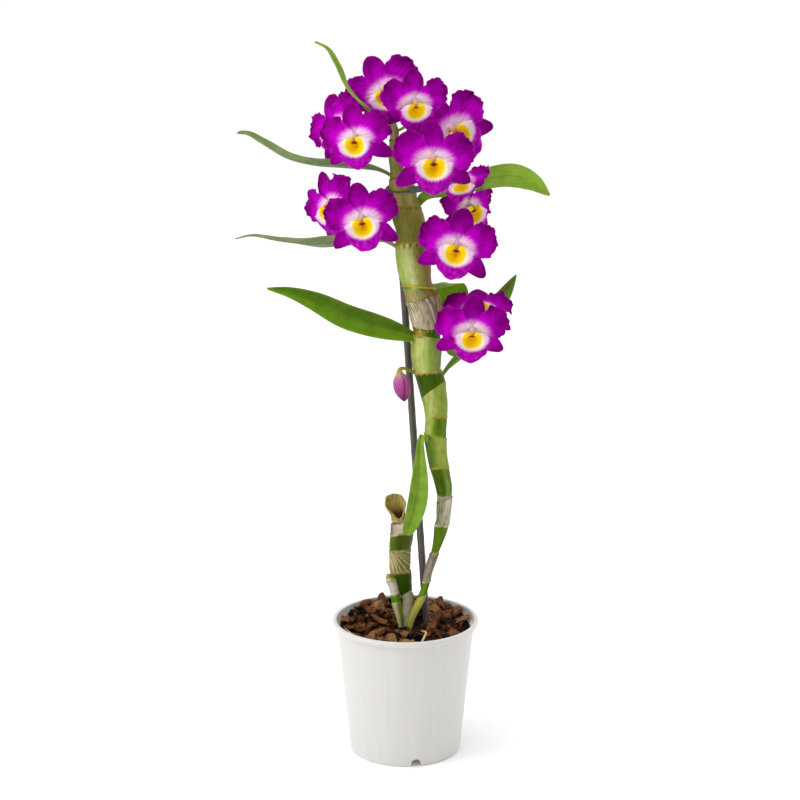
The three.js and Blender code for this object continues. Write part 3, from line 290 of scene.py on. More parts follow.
# Waves round a margin, each as its rate and its share of the height.
TEPAL_FRILL = [(6, 1), (10, 0.8), (19, 0.35), (31, 0.15)]
TEPAL_SCALLOP = [(8, 1), (17, 0.7), (29, 0.35)]
LIP_FRILL = [(7, 1), (11, 0.7), (19, 0.3), (31, 0.15)]
LIP_SCALLOP = [(8, 1), (15, 0.5)]
HEART = dict(centre=[0, -2.6, -1.6], size=[4.6, 6.6, 2.4], pale=2, rows=14, columns=24)
LIP = dict(centre=[0, -6.5, 1.3], half_width=15.5, below=19.5, above=8, notch=7.4, bowl=8.2, flare=2.6,
           ruffle=1.4, waves=4, rings=34, spokes=120, frill=0.62, thickness=0.5)
# The golden disc in the lip and the pale halo round it.
DISC = dict(centre=[0, -5.4], wide=8.2, high=8.5, low=8.8, cleft=0.05, halo_low=10.6, halo_side=13.2)
COLUMN = dict(path=[[0, 1.4, 0], [0, 1.2, 2.6], [0, 0.2, 5], [0, -1.8, 7]], radius=2.3, rows=26, columns=28,
              colours="#e6b8d8 #e4bcc0 #d8ae80 #b88448", under="#6a2016")
STALK = dict(radius=1.3, seat=[0, -1.5, 0], tail=[0, -3.5, -11], rows=60, columns=18,
             colours="#d9b0d4 #d8cfae #b9bb74 #98a446 #8f9a40")
BLOOM_SEED = 700

# ---- Bud ---------------------------------------------------------------------------------------------
BUD = dict(seat=[-5.4, -12.8, 324.4], tip=[-1.2, -13, 300.4], radius=7, sway=0.8, rows=70, columns=72,
           colours="#c9b26a #ba729a #b04c96 #a64690 #9c4282 #842860 #5a0a34", seam="#5a0848",
           blush="#b9686a")
# Share of the bud's radius at shares of its length.
BUD_SWELL = [(0, 0.22), (0.05, 0.42), (0.12, 0.62), (0.22, 0.82), (0.32, 0.94), (0.45, 1), (0.55, 1),
             (0.68, 0.9), (0.78, 0.74), (0.87, 0.55), (0.93, 0.38), (0.98, 0.2), (1, 0.06)]
BUD_STALK = dict(arch=[2, -9, 325.4], joint=[9, -4, 320.5], radius=1.5, rows=48, columns=20,
                 colours="#b8a25c #a08a44 #8f8a34 #8f9a40 #a8a04c")


# ---- Colour and curve helpers ------------------------------------------------------------------------
def linear(colour):
    """An sRGB hex colour as linear red, green, blue and alpha."""
    parts = [int(colour[k:k + 2], 16) / 255 for k in (1, 3, 5)]
    return [p / 12.92 if p <= 0.04045 else ((p + 0.055) / 1.055) ** 2.4 for p in parts] + [1.0]


def across(colours, share):
    """Colours at shares from 0 to 1 along an evenly spaced row of hex colours."""
    row = np.array([linear(c) for c in colours.split()])
    places = np.linspace(0, 1, len(row))
    return np.stack([np.interp(share, places, row[:, k]) for k in range(4)], -1)


def smooth(value):
    """0 below 0, 1 above 1 and an even slope between."""
    value = np.clip(value, 0, 1)
    return value * value * (3 - 2 * value)


def mix(one, other, share):
    return one + (other - one) * share[..., None]


def paint(tints, colour, share):
    """Tints with an sRGB hex colour laid over them by a share at each point."""
    return mix(tints, np.array(linear(colour)), share)


def bands(colours, shares, columns):
    """Tints of a limb that change along it and are the same all the way round."""
    return np.repeat(across(colours, shares)[:, None], columns, axis=1)


def bell(value, width):
    """1 where a value is 0, falling off smoothly to both sides."""
    return np.exp(-((value / width) ** 2))


def hill(x, y, at, spread):
    """1 at a place, falling off smoothly all round it."""
    return np.exp(-(((x - at[0]) / spread[0]) ** 2 + ((y - at[1]) / spread[1]) ** 2))


def turns_of(count):
    """Even angles all the way round."""
    return np.linspace(0, FULL_TURN, count, endpoint=False)


def apart_from(angle, heading):
    """How far angles are from a heading, the short way round."""
    return np.abs((angle - heading + math.pi) % FULL_TURN - math.pi)


def squarish(value, power):
    """A sine or cosine bent towards the outline of a square with round corners."""
    return np.sign(value) * np.abs(value) ** power


def unit(vectors):
    return vectors / np.maximum(np.linalg.norm(vectors, axis=-1, keepdims=True), 1e-9)


def waves(angle, seed, count, fade=1.0, first=1):
    """A smooth random curve round a ring, made of whole numbers of sine waves."""
    draw = np.random.default_rng(seed)
    total = np.zeros_like(angle, dtype=float)
    for k in range(first, first + count):
        total += draw.normal() / (k - first + 1) ** fade * np.sin(k * angle + draw.uniform(0, FULL_TURN))
    return total


def ripple(x, y, seed, count=14, least=0.3, most=2.0):
    """A smooth random surface over x and y, of sine waves between two frequencies, about -1 to 1."""
    draw = np.random.default_rng(seed)
    total = np.zeros(np.broadcast(x, y).shape)
    for _ in range(count):
        heading = draw.uniform(0, FULL_TURN)
        rate = draw.uniform(least, most)
        phase = draw.uniform(0, FULL_TURN)
        total += np.sin(rate * (x * math.cos(heading) + y * math.sin(heading)) + phase)
    return total / math.sqrt(count)


def outline(u, base, peak, tip, ease=1.3):
    """How wide a blade is along its length: from the base share to full at peak, then to the tip."""
    rising = base + (1 - base) * np.sin(math.pi / 2 * np.clip(u / peak, 0, 1)) ** ease
    falling = tip + (1 - tip) * np.cos(math.pi / 2 * np.clip((u - peak) / (1 - peak), 0, 1)) ** 0.9
    return np.where(u < peak, rising, falling)


def hermite(t, start, leave, end, arrive, run=1.0):
    """Where a smooth curve is at t, from 0 to 1; leave and arrive are its slopes over its run."""
    return ((2 * t**3 - 3 * t**2 + 1) * start + (t**3 - 2 * t**2 + t) * run * leave
            + (3 * t**2 - 2 * t**3) * end + (t**3 - t**2) * run * arrive)


def walked_along(points):
    """How far along a path each of its points is."""
    return np.concatenate([[0], np.cumsum(np.linalg.norm(np.diff(points, axis=0), axis=1))])


def curve_through(points, shares):
    """Points at shares of the length of a smooth curve through points, or that many even ones."""
    shares = np.linspace(0, 1, shares) if isinstance(shares, int) else shares
    points = np.array(points, float)
    run = np.vstack([2 * points[0] - points[1], points, 2 * points[-1] - points[-2]])
    fine = []
    for i in range(1, len(run) - 2):
        a, b, c, d = run[i - 1:i + 3]
        before, within, after = [np.linalg.norm(q - p) ** 0.5 for p, q in ((a, b), (b, c), (c, d))]
        leave = ((b - a) / before - (c - a) / (before + within) + (c - b) / within) * within
        arrive = ((c - b) / within - (d - b) / (within + after) + (d - c) / after) * within
        t = np.linspace(0, 1, 40, endpoint=False)[:, None]
        fine.append(hermite(t, b, leave, c, arrive))
    fine = np.vstack([*fine, points[-1:]])
    walked = walked_along(fine)
    columns = [np.interp(shares * walked[-1], walked, fine[:, k]) for k in range(fine.shape[1])]
    return np.stack(columns, -1)


def rings_at(rings, z):
    """Centre and radius of a limb at heights z, on smooth curves through its rings."""
    rings = np.array(rings, float)
    height = rings[:, 2]
    slope = np.gradient(rings, height, axis=0)
    i = np.clip(np.searchsorted(height, z) - 1, 0, len(rings) - 2)
    span = (height[i + 1] - height[i])[:, None]
    t = (z - height[i])[:, None] / span
    found = hermite(t, rings[i], slope[i], rings[i + 1], slope[i + 1], span)
    return found[:, :3], found[:, 3]


# ---- Mesh helpers ------------------------------------------------------------------------------------
class Part:
    """Part of a piece: points in mm, quads (a fourth corner of -1 makes a triangle), its finish, and
    values at its points. grain is where a point lies on the unrolled surface, in mm."""

    def __init__(self, points, faces, finish, grain=None, tint=None, **values):
        self.points = np.asarray(points, float).reshape(-1, 3)
        self.faces = np.asarray(faces, int)
        self.finish = finish
        count = len(self.points)
        self.grain = self.points if grain is None else np.asarray(grain, float).reshape(-1, 3)
        self.tint = np.ones((count, 4)) if tint is None else np.asarray(tint, float).reshape(-1, 4)
        self.values = {key: np.broadcast_to(np.asarray(value, float).ravel(), count)
                       for key, value in values.items()}


def grid_faces(rows, columns, round_rows=False, round_columns=False):
    """Quads of a grid of points, row by row, whose ends may be joined."""
    i, j = np.meshgrid(np.arange(rows if round_rows else rows - 1),
                       np.arange(columns if round_columns else columns - 1), indexing="ij")
    above, right = (i + 1) % rows, (j + 1) % columns
    corners = [i * columns + j, i * columns + right, above * columns + right, above * columns + j]
    return np.stack(corners, -1).reshape(-1, 4)


def closed_tube(points, finish, grain, tint=None, poles=None, **values):
    """A grid of points, rows along and columns round, closed with a pole at each end."""
    rows, columns = points.shape[:2]
    ends = poles if poles is not None else (points[0].mean(0), points[-1].mean(0))
    flat = np.vstack([points.reshape(-1, 3), ends])
    first, last = rows * columns, rows * columns + 1
    k = np.arange(columns)
    after = (k + 1) % columns
    none = np.full(columns, -1)
    top = (rows - 1) * columns
    faces = np.vstack([grid_faces(rows, columns, round_columns=True),
                       np.stack([np.full(columns, first), after, k, none], -1),
                       np.stack([np.full(columns, last), top + k, top + after, none], -1)])
    with_poles = lambda grid: np.concatenate([grid.reshape(rows * columns, -1),
                                              grid[0].reshape(columns, -1).mean(0, keepdims=True),
                                              grid[-1].reshape(columns, -1).mean(0, keepdims=True)])
    spread = {key: with_poles(np.broadcast_to(v, (rows, columns))) for key, v in values.items()}
    return Part(flat, faces, finish, with_poles(grain), None if tint is None else with_poles(tint), **spread)


def ring_frames(centres):
    """Two unit vectors square to a path at each of its points, carried along without twist."""
    along = unit(np.gradient(centres, axis=0))
    side = np.array([1.0, 0.0, 0.0])
    sides = []
    for direction in along:
        side = side - direction * side.dot(direction)
        side = side / np.linalg.norm(side)
        sides.append(side)
    sides = np.array(sides)
    return sides, np.cross(along, sides)


def limb(centres, radii, finish, columns=24, raised=0.0, tint=None, **values):
    """A round limb along a path; raised adds to the radius at each row and column."""
    angle = turns_of(columns)
    side, other = ring_frames(centres)
    radius = np.asarray(radii)[:, None] + raised + 0 * angle
    reach = side[:, None] * np.cos(angle)[:, None] + other[:, None] * np.sin(angle)[:, None]
    points = centres[:, None] + reach * radius[..., None]
    walked = walked_along(centres)
    grain = np.stack([radius * np.cos(angle), radius * np.sin(angle), walked[:, None] + 0 * radius], -1)
    return closed_tube(points, finish, grain, tint, **values)


def blade(middle, thickness, finish, grain, tints=None, **values):
    """A thin closed sheet about a grid of middle points, rows along and columns across; tints are
    those of its front and its back."""
    rows, columns = middle.shape[:2]
    normal = unit(np.cross(np.gradient(middle, axis=0), np.gradient(middle, axis=1)))
    shift = normal * (thickness / 2)[..., None]
    count = rows * columns
    quads = grid_faces(rows, columns)
    i, j = np.arange(rows - 1), np.arange(columns - 1)
    rim = np.concatenate([j, i * columns + columns - 1, (rows - 1) * columns + (j + 1)[::-1],
                          (i + 1)[::-1] * columns])
    after = np.roll(rim, -1)
    faces = np.vstack([quads[:, ::-1], quads + count, np.stack([rim, after, after + count, rim + count], -1)])
    doubled = {key: np.tile(np.broadcast_to(v, (rows, columns)).ravel(), 2) for key, v in values.items()}
    points = np.vstack([(middle + shift).reshape(-1, 3), (middle - shift).reshape(-1, 3)])
    return Part(points, faces, finish, np.vstack([grain.reshape(-1, 3)] * 2), tints, **doubled)


def make_piece(name, parts, nodes, sharp=None):
    """Joins parts in one mesh object; sharp is the angle in degrees past which an edge is a crease."""
    points = np.vstack([part.points for part in parts])
    starts = np.cumsum([0] + [len(part.points) for part in parts])
    faces = np.vstack([np.where(part.faces >= 0, part.faces + start, -1)
                       for part, start in zip(parts, starts)])
    finishes = list(dict.fromkeys(part.finish for part in parts))
    slots = np.concatenate([np.full(len(part.faces), finishes.index(part.finish)) for part in parts])
    corners = faces[faces >= 0]
    mesh = bpy.data.meshes.new(name)
    mesh.vertices.add(len(points))
    mesh.vertices.foreach_set("co", (points * MM).ravel())
    mesh.loops.add(len(corners))
    mesh.loops.foreach_set("vertex_index", corners)
    mesh.polygons.add(len(faces))
    counts = (faces >= 0).sum(1)
    mesh.polygons.foreach_set("loop_start", np.cumsum(counts) - counts)
    mesh.polygons.foreach_set("material_index", slots)
    mesh.polygons.foreach_set("use_smooth", np.ones(len(faces), bool))
    for finish in finishes:
        mesh.materials.append(finish)
    grain = mesh.attributes.new("grain", "FLOAT_VECTOR", "POINT")
    grain.data.foreach_set("vector", np.vstack([part.grain for part in parts]).ravel())
    tint = mesh.attributes.new("tint", "FLOAT_COLOR", "POINT")
    tint.data.foreach_set("color", np.vstack([part.tint for part in parts]).ravel())
    for key in dict.fromkeys(key for part in parts for key in part.values):
        value = mesh.attributes.new(key, "FLOAT", "POINT")
        value.data.foreach_set("value", np.concatenate(
            [part.values.get(key, np.zeros(len(part.points))) for part in parts]))
    mesh.update(calc_edges=True)
    if sharp is not None:
        mesh.set_sharp_from_angle(angle=math.radians(sharp))
    place_piece(name, mesh, nodes)


def place_piece(name, mesh, nodes):
    """Puts a mesh in the scene in the place of CAD nodes, riding on the plant's body."""
    piece = bpy.data.objects.new(name, mesh)
    bpy.context.scene.collection.objects.link(piece)
    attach(piece, BODY)
    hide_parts(*nodes)


# ---- Materials ---------------------------------------------------------------------------------------
def new_finish(name, **settings):
    """A material, its node tree and its Principled shader, whose own sockets are set."""
    material = bpy.data.materials.new(name)
    material.use_nodes = True
    tree = material.node_tree
    shader = tree.nodes["Principled BSDF"]
    for socket, value in settings.items():
        shader.inputs[socket.replace("_", " ").title().replace("Ior", "IOR")].default_value = value
    return material, tree, shader


def socket_of(sockets, key):
    return next(s for s in sockets if key in (s.identifier, s.name))


def add(tree, kind, inputs=None, stops=None, **settings):
    """Adds a node with its settings, its ramp's stops, and values or links for its inputs. A link is a
    node, whose first live output is meant, or a pair of a node and an output's name."""
    node = tree.nodes.new(kind)
    for key, value in settings.items():
        setattr(node, key, value)
    for key, value in (inputs or {}).items():
        link(tree, value, socket_of(node.inputs, key))
    if stops:
        places = node.color_ramp.elements
        while len(places) < len(stops):
            places.new(0.5)
        for place, (position, colour) in zip(places, stops):
            place.position = position
            place.color = linear(colour)
    return node


def link(tree, value, socket):
    if isinstance(value, tuple) and isinstance(value[0], bpy.types.Node):
        tree.links.new(socket_of(value[0].outputs, value[1]), socket)
    elif isinstance(value, bpy.types.Node):
        tree.links.new(next(o for o in value.outputs if not o.is_unavailable), socket)
    else:
        socket.default_value = value


def measure(tree, name, output="Fac"):
    """A value that the mesh holds at its points."""
    return add(tree, "ShaderNodeAttribute", attribute_name=name), output


def object_place(tree):
    """The place of a point in the piece's own frame, in metres."""
    return add(tree, "ShaderNodeTexCoord"), "Object"


def stretched(tree, place, rates):
    return add(tree, "ShaderNodeMapping", {"Vector": place, "Scale": rates})


def noise(tree, place, rate, detail, roughness=0.5):
    return add(tree, "ShaderNodeTexNoise", {"Vector": place, "Scale": rate, "Detail": detail,
                                            "Roughness": roughness})


def compute(tree, operation, *values, **settings):
    """Arithmetic on two or three values or links."""
    inputs = dict(zip(("Value", "Value_001", "Value_002"), values))
    return add(tree, "ShaderNodeMath", inputs, operation=operation, **settings)


def rescale(tree, value, start=(0.0, 1.0), to=(0.0, 1.0)):
    """A value moved from one range to another."""
    return add(tree, "ShaderNodeMapRange", {"Value": value, "From Min": start[0], "From Max": start[1],
                                            "To Min": to[0], "To Max": to[1]})


def ramp(tree, share, *stops):
    """A row of colours at shares from 0 to 1."""
    return add(tree, "ShaderNodeValToRGB", {"Fac": share}, stops=stops)


def blend(tree, share, below, above, way="MIX"):
    """One colour laid over another by a share."""
    return add(tree, "ShaderNodeMix", {"Factor_Float": share, "A_Color": below, "B_Color": above},
               data_type="RGBA", blend_type=way)


def relief(tree, height, strength, depth, over=None):
    """Fine relief, its depth in mm, on the surface or over other relief."""
    inputs = {"Height": height, "Strength": strength, "Distance": depth * MM}
    return add(tree, "ShaderNodeBump", inputs if over is None else inputs | {"Normal": over})


def finish_with(tree, shader, colour, bump=None, rough=None):
    """Links what a finish is made of to its shader."""
    for value, socket in ((colour, "Base Color"), (rough, "Roughness"), (bump, "Normal")):
        if value is not None:
            link(tree, value, shader.inputs[socket])


def pot_finish():
    """Injection-moulded polypropylene: satin white, faint vertical flow marks and a fine grain."""
    material, tree, shader = new_finish("moulded_white_polypropylene", roughness=0.38, ior=1.49,
                                        subsurface_weight=0.06, subsurface_scale=0.002)
    place = object_place(tree)
    # Flow marks 6 mm wide and 90 mm long, and a grain of 0.7 mm.
    flow = noise(tree, stretched(tree, place, (160, 160, 11)), 1.0, 3.0)
    grain = noise(tree, place, 1400.0, 2.0)
    outer = ramp(tree, flow, (0.3, "#ceccc8"), (0.7, "#d2d0cd"))
    # Painted light: the inside of the thin wall and the drain pockets are painted paler, for light that
    # comes through the wall.
    colour = blend(tree, measure(tree, "inside"), outer, linear("#fbf9ee"))
    bump = relief(tree, flow, 0.08, 0.4, over=relief(tree, grain, 0.1, 0.2))
    finish_with(tree, shader, colour, bump, rescale(tree, flow, to=(0.36, 0.44)))
    return material


def bark_finish():
    """Damp pine bark, split and crumbled: corky reddish brown layers, darker where it is wet."""
    material, tree, shader = new_finish("damp_pine_bark", roughness=0.85, specular_ior_level=0.08)
    # Layers 1.2 mm apart that run along the chip, and crumbs of about 2 mm.
    grain = stretched(tree, measure(tree, "grain", "Vector"), (0.12, 0.9, 1.3))
    layers = noise(tree, grain, 1.0, 5.0, 0.65)
    crumbs = noise(tree, object_place(tree), 420.0, 6.0, 0.7)
    # Each chip has its own tone, and its layers vary round that.
    tone = compute(tree, "MULTIPLY", measure(tree, "tone"), 0.76)
    level = compute(tree, "ADD", compute(tree, "MULTIPLY_ADD", layers, tone, -0.16), tone)
    colour = ramp(tree, level, (0.02, "#1e1109"), (0.2, "#2e190c"), (0.36, "#58311b"), (0.54, "#845334"),
                  (0.76, "#8e6440"), (1.0, "#a27850"))
    wet = ramp(tree, crumbs, (0.33, "#5c4436"), (0.58, "#ffffff"))
    bump = relief(tree, layers, 0.8, 1.5, over=relief(tree, crumbs, 0.7, 1.2))
    finish_with(tree, shader, blend(tree, 0.75, colour, wet, "MULTIPLY"), bump,
                rescale(tree, crumbs, to=(0.5, 0.95)))
    return material


def fibre_finish(name, roughness, streak_width, streak_length, contrast, depth, **settings):
    """A finish whose colour is the piece's own, with streaks along the grain; sizes in mm."""
    material, tree, shader = new_finish(name, roughness=roughness, **settings)
    grain, dry = measure(tree, "grain", "Vector"), measure(tree, "dry")
    rates = (1 / streak_width, 1 / streak_width, 1 / streak_length)
    streaks = noise(tree, stretched(tree, grain, rates), 1.0, 4.0, 0.6)
    # Blotches of about 4 mm across the grain and 8 mm along it.
    blotches = noise(tree, stretched(tree, grain, (0.25, 0.25, 0.12)), 1.0, 3.0)
    both = compute(tree, "MULTIPLY", compute(tree, "ADD", streaks, blotches), 0.5)
    shade = ramp(tree, both, (0.36, contrast), (0.5, "#f2f2f2"), (0.64, "#ffffff"))
    colour = blend(tree, 1.0, measure(tree, "tint", "Color"), shade, "MULTIPLY")
    # Dry skin is duller and more deeply streaked.
    rough = compute(tree, "MULTIPLY_ADD", dry, 0.38, roughness)
    lift = compute(tree, "MULTIPLY_ADD", dry, 0.6, 0.25)
    finish_with(tree, shader, colour, relief(tree, streaks, lift, depth), rough)
    return material


def leaf_finish():
    """A fleshy orchid leaf: waxy and cloudy, with fine parallel veins."""
    material, tree, shader = new_finish("waxy_orchid_leaf", roughness=0.48, specular_ior_level=0.1,
                                        subsurface_weight=0.08, subsurface_scale=0.0012,
                                        subsurface_radius=(0.5, 1.0, 0.15))
    grain = measure(tree, "grain", "Vector")
    # Veins 0.8 mm apart that run the length of the blade, and cloudy patches of about 9 mm.
    veins = noise(tree, stretched(tree, grain, (1.25, 0.02, 1.0)), 1.0, 3.0, 0.6)
    clouds = noise(tree, grain, 0.11, 3.0)
    shade = ramp(tree, veins, (0.3, "#dfe3cc"), (0.6, "#ffffff"))
    cloudy = ramp(tree, clouds, (0.35, "#d4dcc0"), (0.65, "#ffffff"))
    veined = blend(tree, 0.8, measure(tree, "tint", "Color"), shade, "MULTIPLY")
    finish_with(tree, shader, blend(tree, 0.8, veined, cloudy, "MULTIPLY"), relief(tree, veins, 0.35, 0.3),
                rescale(tree, clouds, to=(0.42, 0.6)))
    return material


def petal_finish():
    """Petal skin: velvety, pale at the claw, then magenta with radiating veins, painted shade in its folds
    and a paler margin, partly its own colour and partly painted highlight.
    """
    material, tree, shader = new_finish("velvety_magenta_petal", roughness=0.85, specular_ior_level=0.02,
                                        subsurface_weight=0.1, subsurface_scale=0.001,
                                        subsurface_radius=(1.0, 0.1, 0.9))
    # Veins 0.9 mm apart fan out with the blade, and clouds of colour are about 8 mm across.
    grain = stretched(tree, measure(tree, "grain", "Vector"), (1.1, 0.05, 1.0))
    veins = noise(tree, grain, 1.0, 3.0, 0.6)
    clouds = noise(tree, object_place(tree), 120.0, 2.0)
    # Colours follow the reach from the heart out to 30 mm, and the veins fray them.
    fray = compute(tree, "MULTIPLY_ADD", veins, 6.0, -3.0)
    share = compute(tree, "DIVIDE", compute(tree, "ADD", measure(tree, "reach"), fray), 30.0)
    colour = ramp(tree, share, (0.0, "#fff6fc"), (0.3, "#fde8f7"), (0.38, "#f2b2ea"), (0.45, "#da46da"),
                  (0.5, "#c804cc"), (0.62, "#b800b8"), (0.8, "#9c0098"), (1.0, "#880080"))
    # The pale claw has no patches and no painted shade in its folds.
    rich = rescale(tree, share, start=(0.3, 0.5), to=(0.0, 0.8))
    patches = ramp(tree, clouds, (0.34, "#ce98ca"), (0.54, "#ffffff"))
    lines = ramp(tree, veins, (0.34, "#e8c4e8"), (0.56, "#ffffff"))
    veined = blend(tree, 0.6, blend(tree, rich, colour, patches, "MULTIPLY"), lines, "MULTIPLY")
    # Painted shade darkens the folds, dents and troughs, and the margin towards the tip.
    painted_shade = compute(tree, "MULTIPLY", measure(tree, "valley"), rich)
    # The very margin is painted paler: partly the petal's own rim, partly painted highlight.
    margin = compute(tree, "MULTIPLY", measure(tree, "edge"), 0.25)
    folds_shaded_rim_lit = blend(tree, margin, blend(tree, painted_shade, veined, linear("#68005c")), linear("#dc3cd4"))
    finish_with(tree, shader, folds_shaded_rim_lit, relief(tree, veins, 0.5, 0.5))
    return material


def lip_finish():
    """The lip: a golden throat with orange streaks, partly its own and partly painted shadow, which turns
    maroon under the column; a cream line, a pink-white halo, magenta margin.
    """
    material, tree, shader = new_finish("velvety_orchid_lip", roughness=0.75, specular_ior_level=0.04,
                                        subsurface_weight=0.1, subsurface_scale=0.001,
                                        subsurface_radius=(1.0, 0.4, 0.3))
    disc, halo, throat = [measure(tree, name) for name in ("disc", "halo", "throat")]
    # Streaks 1 mm wide run out from the throat, and the margin is mottled with spots of 3 mm.
    grain = stretched(tree, measure(tree, "grain", "Vector"), (1.0, 0.08, 1.0))
    streaks = noise(tree, grain, 1.0, 3.0)
    mottle = noise(tree, object_place(tree), 330.0, 4.0)
    gold = ramp(tree, compute(tree, "MULTIPLY", disc, 0.5), (0.0, "#f4bc04"), (0.28, "#f9d00c"),
                (0.44, "#f6cc10"), (0.5, "#f4da70"), (0.55, "#f2e2c8"), (0.66, "#e6c0e0"))
    # Orange streaks in the throat are partly its own and partly painted shadow; maroon under the column is
    # painted shadow.
    warm = compute(tree, "MULTIPLY_ADD", streaks, 3.0, -0.9, use_clamp=True)
    heated = blend(tree, compute(tree, "MULTIPLY", warm, throat, use_clamp=True), gold, linear("#d08000"))
    painted_shade = ramp(tree, throat, (0.5, "#000000"), (0.85, "#ffffff"))
    maroon = blend(tree, painted_shade, heated, linear("#7a2418"))
    share = rescale(tree, compute(tree, "MULTIPLY_ADD", streaks, 0.22, halo), start=(1.02, 1.22))
    margin = ramp(tree, mottle, (0.34, "#860082"), (0.5, "#a603a4"), (0.68, "#c018be"))
    finish_with(tree, shader, blend(tree, share, maroon, margin), relief(tree, streaks, 0.35, 0.4))
    return material


def plastic_finish(name, dark, light, roughness, grain_size):
    """Dull dark plastic, with scuffs that run along Z; grain_size in mm."""
    material, tree, shader = new_finish(name, roughness=roughness, ior=1.5)
    rate = 1 / (grain_size * MM)
    scuffs = noise(tree, stretched(tree, object_place(tree), (rate, rate, rate / 14)), 1.0, 5.0, 0.65)
    finish_with(tree, shader, ramp(tree, scuffs, (0.32, dark), (0.68, light)), relief(tree, scuffs, 0.3, 0.2),
                rescale(tree, scuffs, to=(roughness - 0.1, roughness + 0.15)))
    return material


def floor_finish():
    """Pale matt paper for the studio floor."""
    material, tree, shader = new_finish("pale_studio_floor", roughness=0.9)
    clouds = noise(tree, object_place(tree), 3.0, 2.0)
    finish_with(tree, shader, ramp(tree, clouds, (0.3, "#fbfbfb"), (0.7, "#fdfdfd")))
    return material


POT_PLASTIC = pot_finish()
DAMP_BARK = bark_finish()
DRY_STRAW = fibre_finish("dry_straw", 0.6, 0.5, 12, "#c9a878", 0.2, specular_ior_level=0.25)
DRY_ROOT = fibre_finish("dry_root_skin", 0.75, 1.2, 6, "#8a7a5c", 0.6, specular_ior_level=0.2)
WAXY_STEM = fibre_finish("waxy_orchid_stem", 0.45, 1.3, 30, "#ced0a8", 0.3, subsurface_weight=0.05,
                         subsurface_scale=0.0015, specular_ior_level=0.08)
PAPERY_SKIN = fibre_finish("dry_papery_sheath", 0.5, 0.75, 34, "#a08e6c", 0.5, specular_ior_level=0.2)
FLOWER_STALK = fibre_finish("fresh_flower_stalk", 0.45, 0.8, 14, "#c8c8a8", 0.2, subsurface_weight=0.1,
                            subsurface_scale=0.001, specular_ior_level=0.16)
WAXY_COLUMN = fibre_finish("waxy_cream_column", 0.4, 1.2, 5, "#e8d8c0", 0.15, subsurface_weight=0.1,
                           subsurface_scale=0.0012, specular_ior_level=0.2)
BUD_SKIN = fibre_finish("satin_bud_skin", 0.5, 0.9, 18, "#c79cc0", 0.25, subsurface_weight=0.1,
                        subsurface_scale=0.001, specular_ior_level=0.15)
LEAF_SKIN = leaf_finish()
PETAL_SKIN = petal_finish()
LIP_SKIN = lip_finish()
STAKE_PLASTIC = plastic_finish("plastic_coated_stake", "#38332f", "#5c5652", 0.5, 1.4)
CLIP_NYLON = plastic_finish("black_nylon_clip", "#24292a", "#4a5350", 0.4, 1.6)
STUDIO_FLOOR = floor_finish()


# ---- Camera ------------------------------------------------------------------------------------------
CAMERA = dict(lens=108, sensor=36, place=(-0.0045, -1.86768, 0.78449), pitch=14.6)


def add_camera():
    data = bpy.data.cameras.new("camera")
    data.lens = CAMERA["lens"]
    data.sensor_width = CAMERA["sensor"]
    camera = bpy.data.objects.new("camera", data)
    camera.location = CAMERA["place"]
    camera.rotation_euler = (math.radians(90 - CAMERA["pitch"]), 0, 0)
    bpy.context.scene.collection.objects.link(camera)
    bpy.context.scene.camera = camera


# ---- Pot ---------------------------------------------------------------------------------------------
def wall_radius(z):
    """Outer radius of the wall at a height, in mm."""
    foot = POT["height"] - POT["rim_height"]
    return POT["base_radius"] + (POT["wall_top"] - POT["base_radius"]) / foot * z


def drain_headings():
    """Where the drain notches lie round the pot."""
    count = DRAIN["count"]
    return [math.radians(DRAIN["first_angle"] + 360 * turn / count) for turn in range(count)]


def rounded(profile, steps=5):
    """A profile of (radius, height, corner radius) with its corners rounded off."""
    points = [np.array(p[:2], float) for p in profile]
    out = [points[0]]
    for i in range(1, len(points) - 1):
        here = points[i]
        sides = [points[i - 1] - here, points[i + 1] - here]
        spans = [np.linalg.norm(side) for side in sides]
        reach = min(profile[i][2], 0.45 * spans[0], 0.45 * spans[1])
        start, end = [here + side / span * reach for side, span in zip(sides, spans)]
        for t in np.linspace(0, 1, steps):
            out.append((1 - t)**2 * start + 2 * t * (1 - t) * here + t**2 * end)
    return np.array([*out, points[-1]])


def pot_profile():
    """Half of the pot's section, from the middle of its underside round to that of its floor."""
    foot = POT["height"] - POT["rim_height"]
    inside = lambda z: wall_radius(z) - POT["wall"]
    return rounded([
        (0, 0.6, 0), (POT["base_radius"] - 6, 0.6, 0.5), (POT["base_radius"] - 5, 0, 0.4),
        (POT["base_radius"] - 0.2, 0, 1.4), (wall_radius(foot - 0.6), foot - 0.6, 0.8),
        (POT["rim_radius"] - 0.5, foot + 0.3, 0.7), (POT["rim_radius"], POT["height"] - 0.2, 1.2),
        (POT["mouth_radius"] + 0.1, POT["height"], 0.8), (POT["mouth_radius"] - 0.2, POT["height"] - 5, 2),
        (inside(foot - 4), foot - 4, 1), (inside(POT["floor"]) - 0.2, POT["floor"], 2), (0, POT["floor"], 0)])


